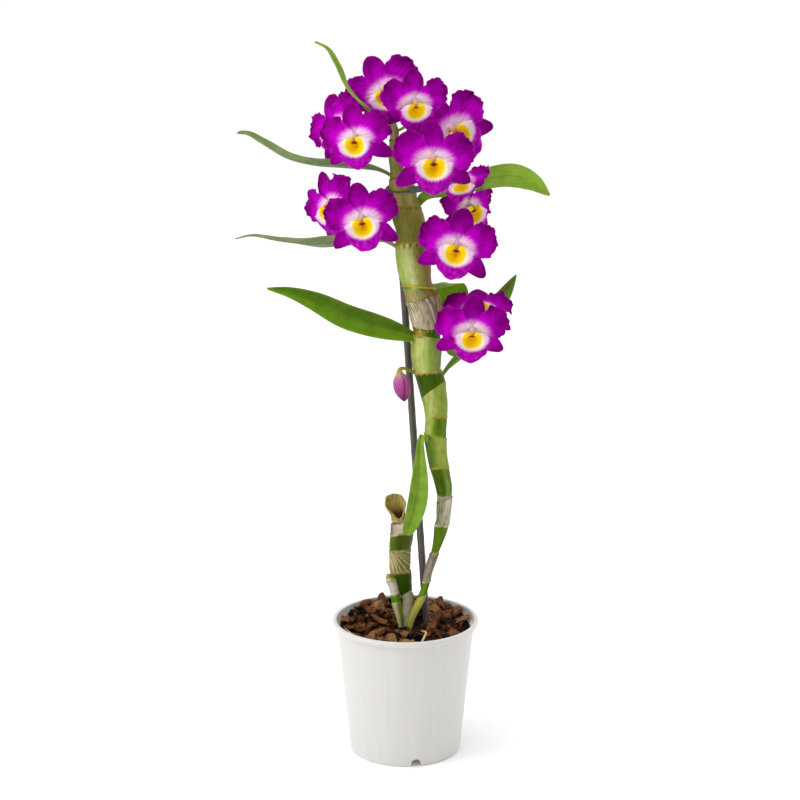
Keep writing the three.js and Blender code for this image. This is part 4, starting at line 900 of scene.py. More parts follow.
def drain_block(skin, past, foot):
    """Arched pockets at the foot of the wall, as one mesh object that cuts or thickens the pot."""
    half = DRAIN["width"] / 2 + skin
    spring = DRAIN["height"] - DRAIN["width"] / 2
    turns = np.linspace(0, math.pi, 25)
    arch = [(-half, foot), (half, foot)] + [(half * math.cos(t), spring + half * math.sin(t)) for t in turns]
    near = POT["base_radius"] - DRAIN["depth"] - skin
    far = POT["base_radius"] + past
    points, faces = [], []
    for heading in drain_headings():
        out = Vector((math.cos(heading), math.sin(heading), 0))
        side = Vector((-math.sin(heading), math.cos(heading), 0))
        start = len(points)
        for reach in (near, far):
            points += [(out * reach + side * a + Vector((0, 0, z))) * MM for a, z in arch]
        n = len(arch)
        faces.append([start + k for k in reversed(range(n))])
        faces.append([start + n + k for k in range(n)])
        faces += [[start + k, start + (k + 1) % n, start + n + (k + 1) % n, start + n + k] for k in range(n)]
    return temporary("drain_cutter", points, faces)


def temporary(name, points, faces):
    """A mesh object that is not a piece of the plant."""
    mesh = bpy.data.meshes.new(name)
    mesh.from_pydata(points, [], faces)
    item = bpy.data.objects.new(name, mesh)
    bpy.context.scene.collection.objects.link(item)
    return item


def settle(item, helpers=()):
    """The item's mesh with its modifiers applied; the item and its helpers are removed."""
    depsgraph = bpy.context.evaluated_depsgraph_get()
    mesh = bpy.data.meshes.new_from_object(item.evaluated_get(depsgraph), preserve_all_data_layers=True,
                                           depsgraph=depsgraph)
    item.modifiers.clear()
    for old in (item, *helpers):
        bpy.data.objects.remove(old)
    return mesh


def build_pot():
    profile = pot_profile()
    angle = turns_of(POT["columns"])
    turned = profile[1:-1]
    grid = np.stack([turned[:, :1] * np.cos(angle), turned[:, :1] * np.sin(angle),
                     turned[:, 1:] + 0 * angle], -1)
    part = closed_tube(grid, POT_PLASTIC, grid,
                       poles=(np.array([0, 0, profile[0][1]]), np.array([0, 0, profile[-1][1]])))
    lathe = temporary("pot_lathe", [tuple(p * MM) for p in part.points],
                      [[int(c) for c in face if c >= 0] for face in part.faces])
    # Thickened blocks stand inside the wall, and pockets are cut in them from outside.
    walls = drain_block(skin=POT["wall"], past=-0.65, foot=1.6)
    pockets = drain_block(skin=0, past=4, foot=-2)
    for helper, operation in ((walls, "UNION"), (pockets, "DIFFERENCE")):
        modifier = lathe.modifiers.new(operation, "BOOLEAN")
        modifier.object = helper
        modifier.operation = operation
        modifier.solver = "EXACT"
    mesh = settle(lathe, (walls, pockets))
    mesh.name = "pot_shell"
    mesh.materials.clear()
    mesh.materials.append(POT_PLASTIC)
    places = np.empty(len(mesh.vertices) * 3)
    mesh.vertices.foreach_get("co", places)
    places = places.reshape(-1, 3)
    heading = np.arctan2(places[:, 1], places[:, 0]) % FULL_TURN
    height, radius = places[:, 2] / MM, np.hypot(places[:, 0], places[:, 1]) / MM
    # inside marks the inner face of the wall and the drain pockets, which the finish paints paler: painted
    # light.
    depth = np.minimum(wall_radius(height), POT["mouth_radius"] + 2) - radius
    inside = mesh.attributes.new("inside", "FLOAT", "POINT")
    inside.data.foreach_set("value", smooth((depth - 0.5) / 0.8))
    # Sink marks of the moulding: the thin wall is never quite round.
    sink = 0.12 * np.sin(3 * angle + 0.7) + 0.07 * waves(angle, 9, 5)
    mid_wall = smooth(height / 25) * smooth((POT["height"] - 8 - height) / 25)
    bulge = np.interp(heading, angle, sink, period=FULL_TURN) * MM * mid_wall
    places[:, 0] += bulge * np.cos(heading)
    places[:, 1] += bulge * np.sin(heading)
    mesh.vertices.foreach_set("co", places.ravel())
    mesh.polygons.foreach_set("use_smooth", np.ones(len(mesh.polygons), bool))
    mesh.set_sharp_from_angle(angle=math.radians(POT["sharp"]))
    place_piece("pot_shell", mesh, ["pot"])


# ---- Bark --------------------------------------------------------------------------------------------
def bark_level(x, y):
    """Top of the bark: it rises to the back and to both sides and falls to the front rim."""
    level = BARK["level"] + BARK["slope"] * y
    level = level + BARK["mound"] * smooth((y - BARK["mound_start"]) / BARK["mound_run"])
    for height, at, spread in HEAPS:
        level = level + height * hill(x, y, at, spread)
    return level


def bark_bed():
    """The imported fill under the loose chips."""
    columns = BARK["columns"]
    angle = turns_of(columns)
    wall = lambda z: wall_radius(z) - POT["wall"] - BARK["gap"]
    pocket_half = DRAIN["width"] / 2 + POT["wall"] + 1
    behind_pocket = POT["base_radius"] - DRAIN["depth"] - POT["wall"] - BARK["gap"]
    rows = []
    for radius, z in [(wall(POT["floor"]) - 2.2, POT["floor"] + BARK["gap"]), (wall(4.4) - 0.3, 4.4),
                      *[(wall(z), z) for z in (8, 12, 40, 70, 92)]]:
        reach = np.full(columns, radius)
        if z < 10:
            for heading in drain_headings():
                beside = apart_from(angle, heading) * behind_pocket < pocket_half
                reach = np.where(beside, behind_pocket, reach)
        rows.append(np.stack([reach * np.cos(angle), reach * np.sin(angle), np.full(columns, z)], -1))
    for share in np.linspace(1, 0.02, BARK["top_rows"]):
        radius = wall(100) * share
        x, y = radius * np.cos(angle), radius * np.sin(angle)
        z = bark_level(x, y) - BARK["cover"] + BARK["crumb"] * ripple(x, y, 4, 22, 0.2, 1.4)
        rows.append(np.stack([x, y, z], -1))
    grid = np.array(rows)
    return closed_tube(grid, DAMP_BARK, grid, tone=BARK["tone"])


def chip_mesh(draw):
    """A bark chip: a split block with tapered, broken ends, few faces and its grain along x."""
    long, wide, thick = [draw.uniform(*CHIP[key]) for key in ("long", "wide", "thick")]
    x, y, z = np.meshgrid(*[np.linspace(-1, 1, count) for count in CHIP["corners"]], indexing="ij")
    shell = (np.abs(x) == 1) | (np.abs(y) == 1) | (np.abs(z) == 1)
    lattice = np.stack([x, y, z], -1)
    taper = 1 - draw.uniform(0.2, 0.6) * (lattice[..., :1] * draw.choice([-1, 1]) + 1) / 2
    block = lattice * np.array([long / 2, wide / 2, thick / 2])
    block[..., 1:] *= taper
    block[..., 1] += draw.uniform(-0.25, 0.25) * block[..., 0]
    block[..., 2] += draw.uniform(-0.06, 0.06) * block[..., 0] ** 2 / 4
    block[..., 0] *= 1 - draw.uniform(0.0, 0.2) * lattice[..., 1] ** 2
    block += draw.normal(size=block.shape) * np.array(CHIP["ragged"])
    index = -np.ones(x.shape, int)
    index[shell] = np.arange(shell.sum())
    faces = []
    for axis in range(3):
        for end in (0, x.shape[axis] - 1):
            face = np.take(index, end, axis=axis)
            a, b, c, d = face[:-1, :-1], face[1:, :-1], face[1:, 1:], face[:-1, 1:]
            quads = np.stack([a, b, c, d], -1).reshape(-1, 4)
            outward = (end > 0) == (axis != 1)
            faces += [list(map(int, q)) for q in (quads if outward else quads[:, ::-1])]
    points = block[shell]
    mesh = bpy.data.meshes.new("chip")
    mesh.from_pydata([tuple(p * MM) for p in points], [], faces)
    grain = mesh.attributes.new("grain", "FLOAT_VECTOR", "POINT")
    grain.data.foreach_set("vector", (points + draw.uniform(0, 400, 3)).ravel())
    return mesh


def scatter_tree():
    """Geometry Nodes: points spread over a surface, a chip from the collection on each, turned, tilted
    and sized at random."""
    tree = bpy.data.node_groups.new("scatter_chips", "GeometryNodeTree")
    sockets = [("Surface", "Geometry"), ("Chips", "Collection"), ("Spacing", "Float"), ("Density", "Float"),
               ("Least Size", "Float"), ("Most Size", "Float"), ("Tilt", "Float"), ("Seed", "Int"),
               ("Finish", "Material")]
    for name, kind in sockets:
        tree.interface.new_socket(name, in_out="INPUT", socket_type=f"NodeSocket{kind}")
    tree.interface.new_socket("Chips", in_out="OUTPUT", socket_type="NodeSocketGeometry")
    given = add(tree, "NodeGroupInput")
    room = add(tree, "GeometryNodeInputNamedAttribute", {"Name": "room"}, data_type="FLOAT")
    points = add(tree, "GeometryNodeDistributePointsOnFaces",
                 {"Mesh": (given, "Surface"), "Distance Min": (given, "Spacing"),
                  "Density Max": (given, "Density"), "Density Factor": (room, "Attribute"),
                  "Seed": (given, "Seed")}, distribute_method="POISSON")
    chips = add(tree, "GeometryNodeCollectionInfo", {"Collection": (given, "Chips"),
                                                     "Separate Children": True, "Reset Children": True})
    most = add(tree, "ShaderNodeCombineXYZ", {"X": (given, "Tilt"), "Y": (given, "Tilt"), "Z": math.pi})
    least = add(tree, "ShaderNodeVectorMath", {"Vector": most, "Scale": -1.0}, operation="SCALE")
    turn = add(tree, "FunctionNodeRandomValue", {"Min": least, "Max": most, "Seed": (given, "Seed")},
               data_type="FLOAT_VECTOR")
    size = add(tree, "FunctionNodeRandomValue", {"Min_001": (given, "Least Size"),
                                                 "Max_001": (given, "Most Size"), "Seed": (given, "Seed")},
               data_type="FLOAT")
    spread = add(tree, "GeometryNodeInstanceOnPoints",
                 {"Points": (points, "Points"), "Instance": chips, "Pick Instance": True, "Rotation": turn,
                  "Scale": size})
    tone = add(tree, "FunctionNodeRandomValue", {"Min_001": 0.0, "Max_001": 1.0, "Seed": (given, "Seed")},
               data_type="FLOAT")
    toned = add(tree, "GeometryNodeStoreNamedAttribute", {"Geometry": spread, "Name": "tone", "Value": tone},
                data_type="FLOAT", domain="INSTANCE")
    solid = add(tree, "GeometryNodeRealizeInstances", {"Geometry": toned})
    finished = add(tree, "GeometryNodeSetMaterial", {"Geometry": solid, "Material": (given, "Finish")})
    add(tree, "NodeGroupOutput", {"Chips": finished})
    return tree


def bark_surface(reach, count=60):
    """The sheet that chips are spread over, with room = 0 where canes and stake stand."""
    x, y = np.meshgrid(*[np.linspace(-reach, reach, count)] * 2, indexing="ij")
    points = np.stack([x, y, bark_level(x, y)], -1).reshape(-1, 3)
    quads = grid_faces(count, count)[:, ::-1]
    middle = points[quads].mean(1)
    quads = quads[np.hypot(middle[:, 0], middle[:, 1]) < reach]
    sheet = temporary("bark_surface", [tuple(p * MM) for p in points], quads.tolist())
    room = np.ones(len(points))
    for stem_x, stem_y, clear in STEMS:
        room *= smooth((np.hypot(points[:, 0] - stem_x, points[:, 1] - stem_y) - clear) / 3)
    room *= 1 - SOIL["bare"] * hill(points[:, 0], points[:, 1], SOIL["at"], SOIL["spread"])
    sheet.data.attributes.new("room", "FLOAT", "POINT").data.foreach_set("value", room)
    return sheet


def scatter(tree, chips, sizes):
    """Spreads chips over the bark and returns them as a part, pushed clear of the pot's wall."""
    sheet = bark_surface(sizes["reach"])
    modifier = sheet.modifiers.new("scatter", "NODES")
    modifier.node_group = tree
    given = {"Chips": chips, "Spacing": sizes["spacing"] * MM, "Density": sizes["density"],
             "Least Size": sizes["least"], "Most Size": sizes["most"], "Tilt": sizes["tilt"],
             "Seed": sizes["seed"], "Finish": DAMP_BARK}
    for socket in tree.interface.items_tree:
        if socket.in_out == "INPUT" and socket.name in given:
            modifier[socket.identifier] = given[socket.name]
    mesh = settle(sheet)
    count = len(mesh.vertices)
    points, grain, tone = np.empty(count * 3), np.empty(count * 3), np.empty(count)
    mesh.vertices.foreach_get("co", points)
    mesh.attributes["grain"].data.foreach_get("vector", grain)
    mesh.attributes["tone"].data.foreach_get("value", tone)
    faces = np.empty(len(mesh.loops), int)
    mesh.loops.foreach_get("vertex_index", faces)
    points = points.reshape(-1, 3) / MM
    far = np.hypot(points[:, 0], points[:, 1])
    inside = np.minimum(wall_radius(points[:, 2]) - POT["wall"] - 0.4, POT["mouth_radius"] - 1.4)
    points[:, :2] *= np.minimum(1, inside / np.maximum(far, 1))[:, None]
    bpy.data.meshes.remove(mesh)
    return Part(points, faces.reshape(-1, 4), DAMP_BARK, grain, tone=tone * sizes["shade"])


def build_bark():
    draw = np.random.default_rng(BARK["seed"])
    shelf = bpy.data.collections.new("chip_kinds")
    kinds = [bpy.data.objects.new(f"chip_{k}", chip_mesh(draw)) for k in range(CHIP["kinds"])]
    for kind in kinds:
        shelf.objects.link(kind)
    tree = scatter_tree()
    parts = [bark_bed(), scatter(tree, shelf, CHIPS), scatter(tree, shelf, CRUMBS)]
    t = np.linspace(0, 1, STRAW["rows"])
    for straw in STRAWS:
        # A straw is a little thinner at its broken end.
        radii = straw["radius"] * (1 - 0.25 * smooth((t - 0.9) * 10))
        parts.append(limb(curve_through(straw["path"], STRAW["rows"]), radii, DRY_STRAW, STRAW["columns"],
                          tint=bands(STRAW["colours"], t, STRAW["columns"])))
    make_piece("bark_chips", parts, ["bark_medium"], sharp=BARK["sharp"])
    for kind in kinds:
        bpy.data.objects.remove(kind)
    bpy.data.collections.remove(shelf)


# ---- Canes -------------------------------------------------------------------------------------------
def fan_lines(z, angle, top):
    """Pale fibres that fan out from the upper left of a straw sheath whose upper edge is at top."""
    heading = np.arctan2(FAN["radius"] * np.cos(angle) + FAN["left"], top + FAN["above"] - z)
    return smooth((np.cos(FAN["count"] * heading + 0.8 * waves(heading * 6, 77, 5)) - 0.66) / 0.3)


def cane_skin(z, angle, stretches, rings, fringes, seed):
    """Colour, dryness and raised detail of a cane at a grid of heights."""
    # Colours across the front, left to right, are the cane's own with painted light and shade; round the back
    # they even out towards their mean.
    side = (1 + np.cos(angle)) / 2
    behind = smooth(np.sin(angle) * 1.5)
    tint = np.zeros((len(z), len(angle), 4))
    dry, raised = np.zeros(tint.shape[:2]), np.zeros(tint.shape[:2])
    for k, (start, rise, cover, colours) in enumerate(stretches):
        ragged = 0.8 if cover == "dry" else 0.25
        edge = start + rise * np.cos(angle) + ragged * waves(angle, seed + k, 9, 0.8) / 2
        share = smooth((z - edge) / 0.7)
        own = across(colours, side)
        own = mix(own, own.mean(0), 0.45 * behind)
        tint = mix(tint, own[None], share)
        if cover == "straw":
            lines = fan_lines(z, angle, stretches[k + 1][0])
            tint = paint(tint, FAN["colour"], 0.75 * share * lines)
        stand_off, dryness = COVERS[cover]
        raised += (stand_off - raised) * share
        dry += (dryness - dry) * share
    for k, (level, rise, height, first, last, colour) in enumerate(rings):
        edge = level + rise * np.cos(angle) + 0.12 * waves(angle, seed + 50 + k, 7)
        shown = smooth((side - first) * 8 + 0.5) * smooth((last - side) * 8 + 0.5)
        uneven = 0.75 + 0.25 * waves(angle, seed + 90 + k, 11, 0.5)
        tint = paint(tint, colour, bell(z - edge, 0.85) * shown * np.clip(uneven, 0.25, 1.0))
        # A ring stands proud, with a shallow groove above it.
        raised += height * bell(z - edge, 1.1) * (0.4 + 0.6 * shown)
        raised -= 0.22 * bell(z - edge - 2.2, 0.9)
    for k, (level, rise, length, light, dark) in enumerate(fringes):
        hang = length * np.clip(0.45 + 0.4 * waves(angle, seed + 130 + k, 26, 0.25, 10) / 1.8, 0.08, 1)
        edge = level + rise * np.cos(angle)
        share = smooth((z - edge + hang) / 0.8) * smooth((edge - z) / 0.6)
        light, dark = np.array(linear(light)), np.array(linear(dark))
        own = light + (dark - light) * smooth(0.5 + waves(angle, seed + 160 + k, 20, 0.2, 12) / 2)[:, None]
        tint = mix(tint, own[None], 0.85 * share)
        raised += 0.2 * share
    ribs = 0.16 * waves(angle, seed + 7, 26, 0.35, 8)[None] / 3
    raised += ribs * (0.25 + 0.9 * dry) + 0.12 * ripple(angle * 4, z / 5, seed + 3, 18, 0.4, 1.6)
    return tint, dry, raised


def build_cane(name, rings, stretches, node_rings, fringes, node, seed, columns=96, row_step=0.5):
    low, high = rings[0][2], rings[-1][2]
    z = np.linspace(low, high, int((high - low) / row_step) + 1)
    centres, radii = rings_at(rings, z)
    angle = turns_of(columns)
    # Nodes lie level even where the cane leans, and rise a little towards the front.
    side, other = ring_frames(centres)
    reach = side[:, None] * np.cos(angle)[:, None] + other[:, None] * np.sin(angle)[:, None]
    reach = reach * radii[:, None, None]
    level = z[:, None] + reach[..., 2] + 0.24 * np.minimum(reach[..., 1], 0)
    tint, dry, raised = cane_skin(level, angle, stretches, node_rings, fringes, seed)
    # The top end is drawn in to a blunt tip.
    tip = smooth((high - z) / 1.2)[:, None]
    part = limb(centres, radii * (0.35 + 0.65 * tip[:, 0]), WAXY_STEM, columns, raised * tip, tint, dry=dry)
    make_piece(name, [part], [node])


def build_sheath(sheath):
    """A dry sheath that lies loosely on the cane, with a torn upper edge and dark striations."""
    rows, columns = SHEATH["rows"], SHEATH["columns"]
    angle = turns_of(columns)
    u = np.linspace(0, 1, rows)[:, None]
    dip = np.maximum(0, np.cos(angle - math.radians(sheath["low"])))
    torn = 0.7 * waves(angle, sheath["seed"], 24, 0.6, 3) / 3
    z = sheath["start"] + (sheath["end"] - sheath["start"] - sheath["notch"] * dip) * u
    z = z + torn * u**3 + 0.25 * waves(angle, sheath["seed"] + 1, 8) * (1 - u) ** 2
    centres, radii = rings_at(CANE_MAIN, z.ravel())
    centres, radii = centres.reshape(rows, columns, 3), radii.reshape(rows, columns)
    # Striations 2 to 5 mm apart lean as they climb and draw together towards the torn edge.
    slant = angle + sheath["lean"] * (u - 0.5)
    lines = waves(slant, sheath["seed"] + 2, 26, 0.2, 12) / 2.4
    worn = 0.5 + 0.5 * ripple(angle * 3, z / 8, sheath["seed"] + 5)
    dark = smooth(lines * 1.1 - 0.35) * (0.35 + 0.65 * u) * np.clip(worn + 0.3, 0, 1)
    crinkle = 0.12 * ripple(angle * 5, z / 3, sheath["seed"] + 3, 18, 0.5, 2.0)
    middle = radii + SHEATH["clearance"] + SHEATH["wall"] / 2 + sheath["flare"] * u**2
    middle = middle + crinkle * u - 0.14 * lines * (0.4 + 0.6 * u)
    # Colours across the front, left to right, are the sheath's own with painted light and shade.
    side = (1 + np.cos(angle)) / 2
    own = across(sheath["colours"], side)[None] * np.ones((rows, 1, 1))
    pale = smooth(-lines * 1.2 - 0.5) * 0.45
    tint = paint(paint(own, SHEATH["pale"], pale), sheath["streak"], dark)
    layers = []
    for offset in (SHEATH["wall"] / 2, -SHEATH["wall"] / 2):
        radius = np.maximum(middle + offset, radii + 0.15)
        layers.append(centres + np.stack([radius * np.cos(angle), radius * np.sin(angle), 0 * radius], -1))
    grid = np.concatenate([layers[0], layers[1][::-1]])
    tints = np.concatenate([tint, tint[::-1] * np.array([SHEATH["inside_shade"]] * 3 + [1])])
    grain = np.stack([middle * np.cos(angle), middle * np.sin(angle), z + 0 * middle], -1)
    grains = np.concatenate([grain, grain[::-1]])
    faces = grid_faces(2 * rows, columns, round_rows=True, round_columns=True)
    part = Part(grid, faces, PAPERY_SKIN, grains, tints, dry=1.0)
    make_piece(sheath["name"] + "_skin", [part], [sheath["name"]])


def build_husk():
    """The cut cane's last sheath: a brown scoop, open to the front, with a curled rim and a pit painted dark
    as painted shade.
    """
    angle = turns_of(CUT_HUSK["columns"])
    side = (1 + np.cos(angle)) / 2
    apart = apart_from(angle, CUT_HUSK["split_heading"])
    jag = 0.45 * waves(angle, 32, 20, 0.6, 4) / 3
    outside, inside = [np.array(CUT_HUSK[key], float) for key in ("outside", "inside")]
    foot, pit, top = outside[0][2], inside[-1][2], outside[-1][2]
    rim = top - CUT_HUSK["split"] * (0.5 + 0.5 * np.cos(apart)) ** CUT_HUSK["split_round"] + jag
    folds = waves(angle, 31, 9, 0.5, 3) / 2.4
    wrinkles = smooth(waves(angle, 34, 30, 0.2, 14) / 2.4 - 0.1)
    climb = np.linspace(0, 1, CUT_HUSK["rows"])
    rows, tints = [], []
    for lining, t in [(0, t) for t in climb] + [(1, t) for t in climb[::-1]]:
        table, low = (inside[::-1], pit) if lining else (outside, foot)
        z = low + (np.maximum(rim, low + 0.2) - low) * t + 0.3 * t * lining
        centres, radii = rings_at(table, z)
        curl = bell(1 - t, 0.1)
        radius = radii + 0.5 * folds * t - 0.2 * wrinkles * t + 0.4 * curl * (1 - lining) - 0.15
        radius = np.maximum(radius, 1.0)
        rows.append(centres + np.stack([radius * np.cos(angle), radius * np.sin(angle), 0 * radius], -1))
        if lining:
            # Painted shade: the lining darkens towards the bottom of the pit, with a near-black patch there.
            depth = np.clip((z - pit) / (top - pit), 0, 1)
            own = paint(across(CUT_HUSK["lining"], depth), CUT_HUSK["lining_wrinkle"], 0.4 * wrinkles)
            own = paint(own, CUT_HUSK["pit_painted_shade"], 0.9 * hill(angle, depth, (0.8, 0.12), (0.55, 0.2)))
            own = paint(own, CUT_HUSK["flap"], 0.7 * hill(angle, depth, (1.35, 0.36), (0.13, 0.16)))
        else:
            # Colours across the front, left to right, are the skin's own with painted light and shade.
            own = paint(across(CUT_HUSK["skin"], side), CUT_HUSK["skin_wrinkle"], 0.4 * wrinkles)
            own = paint(own, CUT_HUSK["skin_foot"], 0.8 * smooth((foot + 4.5 - z) / 4))
        tints.append(paint(own, CUT_HUSK["rim"], 0.8 * curl * np.clip(0.7 + 0.3 * folds, 0, 1)))
    grid = np.array(rows)
    part = closed_tube(grid, PAPERY_SKIN, grid, np.array(tints), dry=0.8)
    make_piece("cut_cane_husk_skin", [part], ["cut_cane_husk"])


def even_draws(seed):
    """Random numbers from 0 to 1."""
    while True:
        seed = (seed * 16807) % 2147483647
        yield seed / 2147483647


def root_part(rings, columns, colours):
    path = curve_through(rings, ROOTS["rows"])
    along = np.linspace(0, 30, ROOTS["rows"])[:, None]
    knots = 0.12 * ripple(turns_of(columns) * 2, along, len(rings), 16, 0.5, 2.2)
    tint = bands(colours, np.linspace(0, 1, ROOTS["rows"]), columns)
    return limb(path[:, :3], path[:, 3], DRY_ROOT, columns, knots, tint, dry=0.8)


def build_roots():
    """The rhizome with its roots, mostly buried in the bark."""
    draws = even_draws(ROOTS["seed"])
    parts = [root_part(RHIZOME, **RHIZOME_SKIN)]
    for i in range(ROOTS["count"]):
        heading = FULL_TURN * (i + 0.6 * next(draws)) / ROOTS["count"]
        start = RHIZOME[1 + i % 2]
        out = ROOTS["spread"] * (0.5 + 0.5 * next(draws))
        reach = ROOTS["reach"] * (0.6 + 0.4 * next(draws))
        rings = [[start[0] + out * math.sin(1.4 * t) * math.cos(heading + 0.5 * t),
                  start[1] + out * math.sin(1.4 * t) * math.sin(heading + 0.5 * t),
                  start[2] - 1 - reach * t * t**0.3, ROOTS["radius"] * (1 - 0.35 * t)]
                 for t in (0, 0.35, 0.7, 1)]
        parts.append(root_part(rings, ROOTS["columns"], ROOTS["colours"]))
    make_piece("rhizome_with_roots", parts, ["rhizome_and_roots"])


# ---- Stake and clip ----------------------------------------------------------------------------------
def build_stake():
    foot, top = np.array(STAKE["foot"], float), np.array(STAKE["top"], float)
    rows, columns = STAKE["rows"], STAKE["columns"]
    t = np.linspace(0, 1, rows)[:, None]
    path = np.vstack([foot - np.array([0, 0, STAKE["point"]]), foot + (top - foot) * t,
                      top + np.array(STAKE["cap"])])
    radii = np.concatenate([[STAKE["point_radius"]], np.full(rows, STAKE["radius"]),
                            [STAKE["radius"] * STAKE["cap_radius"]]])
    radii[-2] *= 0.9
    angle, z = turns_of(columns), path[:, 2:]
    # Moulded studs wind round the stake.
    wind = np.cos(2 * angle - z / STAKE["stud_spacing"] * FULL_TURN / 2)
    raised = STAKE["stud_height"] * smooth((wind - 0.72) / 0.28) + 0.03 * ripple(angle * 3, z / 6, 12)
    raised[[0, -1]] = 0
    part = limb(path, radii, STAKE_PLASTIC, columns, raised)
    make_piece("stake_rod", [part], ["support_stake"])


def clip_loop(grow, directions):
    """The outline that the tangents round both the cane and the stake enclose."""
    centre, radius = rings_at(CANE_MAIN, np.array([CLIP["level"]]))
    foot, top = np.array(STAKE["foot"]), np.array(STAKE["top"])
    post = foot + (CLIP["level"] - foot[2]) / (top[2] - foot[2]) * (top - foot)
    circles = [(centre[0][:2], radius[0] + 0.4), (post[:2], STAKE["radius"])]
    normal = np.stack([np.cos(directions), np.sin(directions)], -1)
    reach = np.max([normal @ c + r + grow for c, r in circles], axis=0)
    after = np.roll(reach, -1)
    step = directions[1] - directions[0]
    x = reach * np.sin(directions + step) - after * np.sin(directions)
    y = after * np.cos(directions) - reach * np.cos(directions + step)
    return np.stack([x, y], -1) / math.sin(step)


def clip_end(at, size, lean, rows=34, columns=40):
    """A block with rounded edges and a few gripping grooves across it."""
    u = np.linspace(-math.pi / 2, math.pi / 2, rows + 2)[1:-1, None]
    v = turns_of(columns)
    x = squarish(np.sin(u), 0.35) + 0 * v
    y, z = [squarish(np.cos(u), 0.35) * squarish(wave(v), 0.35) for wave in (np.cos, np.sin)]
    grooves = 1 - 0.12 * smooth(np.cos(x * math.pi * 3) * 1.4 - 0.3)
    points = np.stack([x * size[0] / 2, y * size[1] / 2 * grooves, z * size[2] / 2 * grooves], -1)
    turn = np.array(Matrix.Rotation(lean, 3, "Y"))
    grid = points @ turn.T + np.array(at)
    poles = [np.array([end * size[0] / 2, 0, 0]) @ turn.T + np.array(at) for end in (-1, 1)]
    return closed_tube(grid, CLIP_NYLON, grid, poles=poles)


def build_clip():
    directions = turns_of(CLIP["columns"])
    # The band is slimmer where it crosses the front of the cane.
    tall = CLIP["height"] * (1 - 0.5 * smooth(-np.sin(directions) * 1.5))
    rows = []
    for turn in turns_of(CLIP["section"]):
        grow = CLIP["gap"] + CLIP["wall"] / 2 * (1 + squarish(math.cos(turn), 0.4))
        z = CLIP["level"] + tall / 2 * (1 + squarish(math.sin(turn), 0.4))
        rows.append(np.column_stack([clip_loop(grow, directions), z]))
    faces = grid_faces(CLIP["section"], CLIP["columns"], round_rows=True, round_columns=True)
    parts = [Part(np.array(rows), faces, CLIP_NYLON)] + [clip_end(**lug) for lug in CLIP["lugs"]]
    make_piece("stake_clip_band", parts, ["stake_clip"])


# ---- Leaves ------------------------------------------------------------------------------------------
def build_leaf(leaf, seed):
    rows, columns = LEAF["rows"], LEAF["columns"]
    # Rows lie closer together towards the tip, so that a blunt end is round.
    t = np.linspace(0, 1, rows)
    walk = 0.25 * t + 0.75 * np.sin(math.pi / 2 * t)
    centre = curve_through(leaf["rib"], walk)
    long = np.linalg.norm(np.diff(curve_through(leaf["rib"], 200), axis=0), axis=1).sum()
    along = unit(np.gradient(centre, walk * long, axis=0))
    level = np.array(leaf["side"], float) + 0 * along if "side" in leaf else np.cross([0, 0, 1.0], along)
    over = unit(level - along * (level * along).sum(1, keepdims=True))
    u = walk[:, None]
    roll = np.radians(np.interp(u, np.linspace(0, 1, len(leaf["roll"])), leaf["roll"]))
    over = over * np.cos(roll) + np.cross(along, over) * np.sin(roll)
    up = np.cross(along, over)
    v = np.linspace(-1, 1, columns)[None, :]
    half = leaf["width"] * outline(u, LEAF["base"], leaf["peak"], leaf["tip"], leaf.get("ease", 1.3))
    blunt = np.maximum(leaf["width"] * leaf["tip"], 1.2)
    half = half * np.sqrt(np.clip(1 - np.clip(1 - long * (1 - u) / blunt, 0, 1) ** 2, 0.004, 1))
    offset = half * v
    wave = LEAF["wave"] * np.sin(LEAF["wave_rate"] * u + np.where(v > 0, 0, 1.7)) * np.sin(math.pi * u)
    uneven = LEAF["uneven"] * ripple(offset / 7, u * 9, seed, 12, 0.4, 1.6) * np.sin(math.pi * u)
    groove = LEAF["groove"] * bell(offset, LEAF["groove_width"]) * smooth((1 - u) / 0.2)
    veins = LEAF["vein"] * np.cos(FULL_TURN * offset / LEAF["vein_spacing"])
    fold = np.sqrt(v * v + 0.012) - math.sqrt(0.012)
    lift = (leaf["fold"] * half + wave) * fold + uneven * np.abs(v) - groove + veins
    middle = centre[:, None] + over[:, None] * offset[..., None] + up[:, None] * lift[..., None]
    thickness = LEAF["margin"] + (LEAF["thickness"] - LEAF["margin"]) * (1 - np.abs(v) ** 3) + 0 * u
    thickness = thickness + LEAF["keel"] * bell(offset, LEAF["keel_width"]) * (1 - u)
    grain = np.stack([offset, long * u + 0 * offset, 0 * offset + seed * 37.0], -1)
    midrib = bell(offset, LEAF["rib_width"]) * (1 - u)
    # Painted light and shade: across the midrib one half of the blade is lighter and the other darker.
    painted_light_halves = 1 + leaf.get("painted_light_halves", 0) * np.array([1, 1, 1, 0]) * np.clip(4 * v, -1, 1)[..., None]
    tints = []
    for own, rib in ((leaf["top"], LEAF_TINTS["rib_above"]), (leaf["under"], LEAF_TINTS["rib_below"])):
        tint = paint(np.broadcast_to(linear(own), (rows, columns, 4)), LEAF_TINTS["rib"], rib * midrib)
        tint = paint(tint, leaf.get("end", own), smooth((u - 0.5) / 0.4)) * painted_light_halves
        tint = paint(tint, LEAF_TINTS["margin"], np.abs(v) ** 8 * 0.4)
        tint = paint(tint, LEAF_TINTS["base"], 0.5 * smooth(1 - u / 0.1))
        tints.append(paint(tint, LEAF_TINTS["tip"], 0.4 * smooth((u - 0.95) / 0.05)))
    part = blade(middle, thickness, LEAF_SKIN, grain, tints)
    make_piece(leaf["name"] + "_blade", [part], [leaf["name"]])


# ---- Blooms ------------------------------------------------------------------------------------------
# In a bloom's own frame x is right, y is up and z is out of its face, with the column at the origin.
def petal_reach(x, y, pale):
    """How far a point is from the pale heart of the bloom, in mm along a petal."""
    return np.hypot(x / 1.3, (y + 2.5) / 0.95) - pale


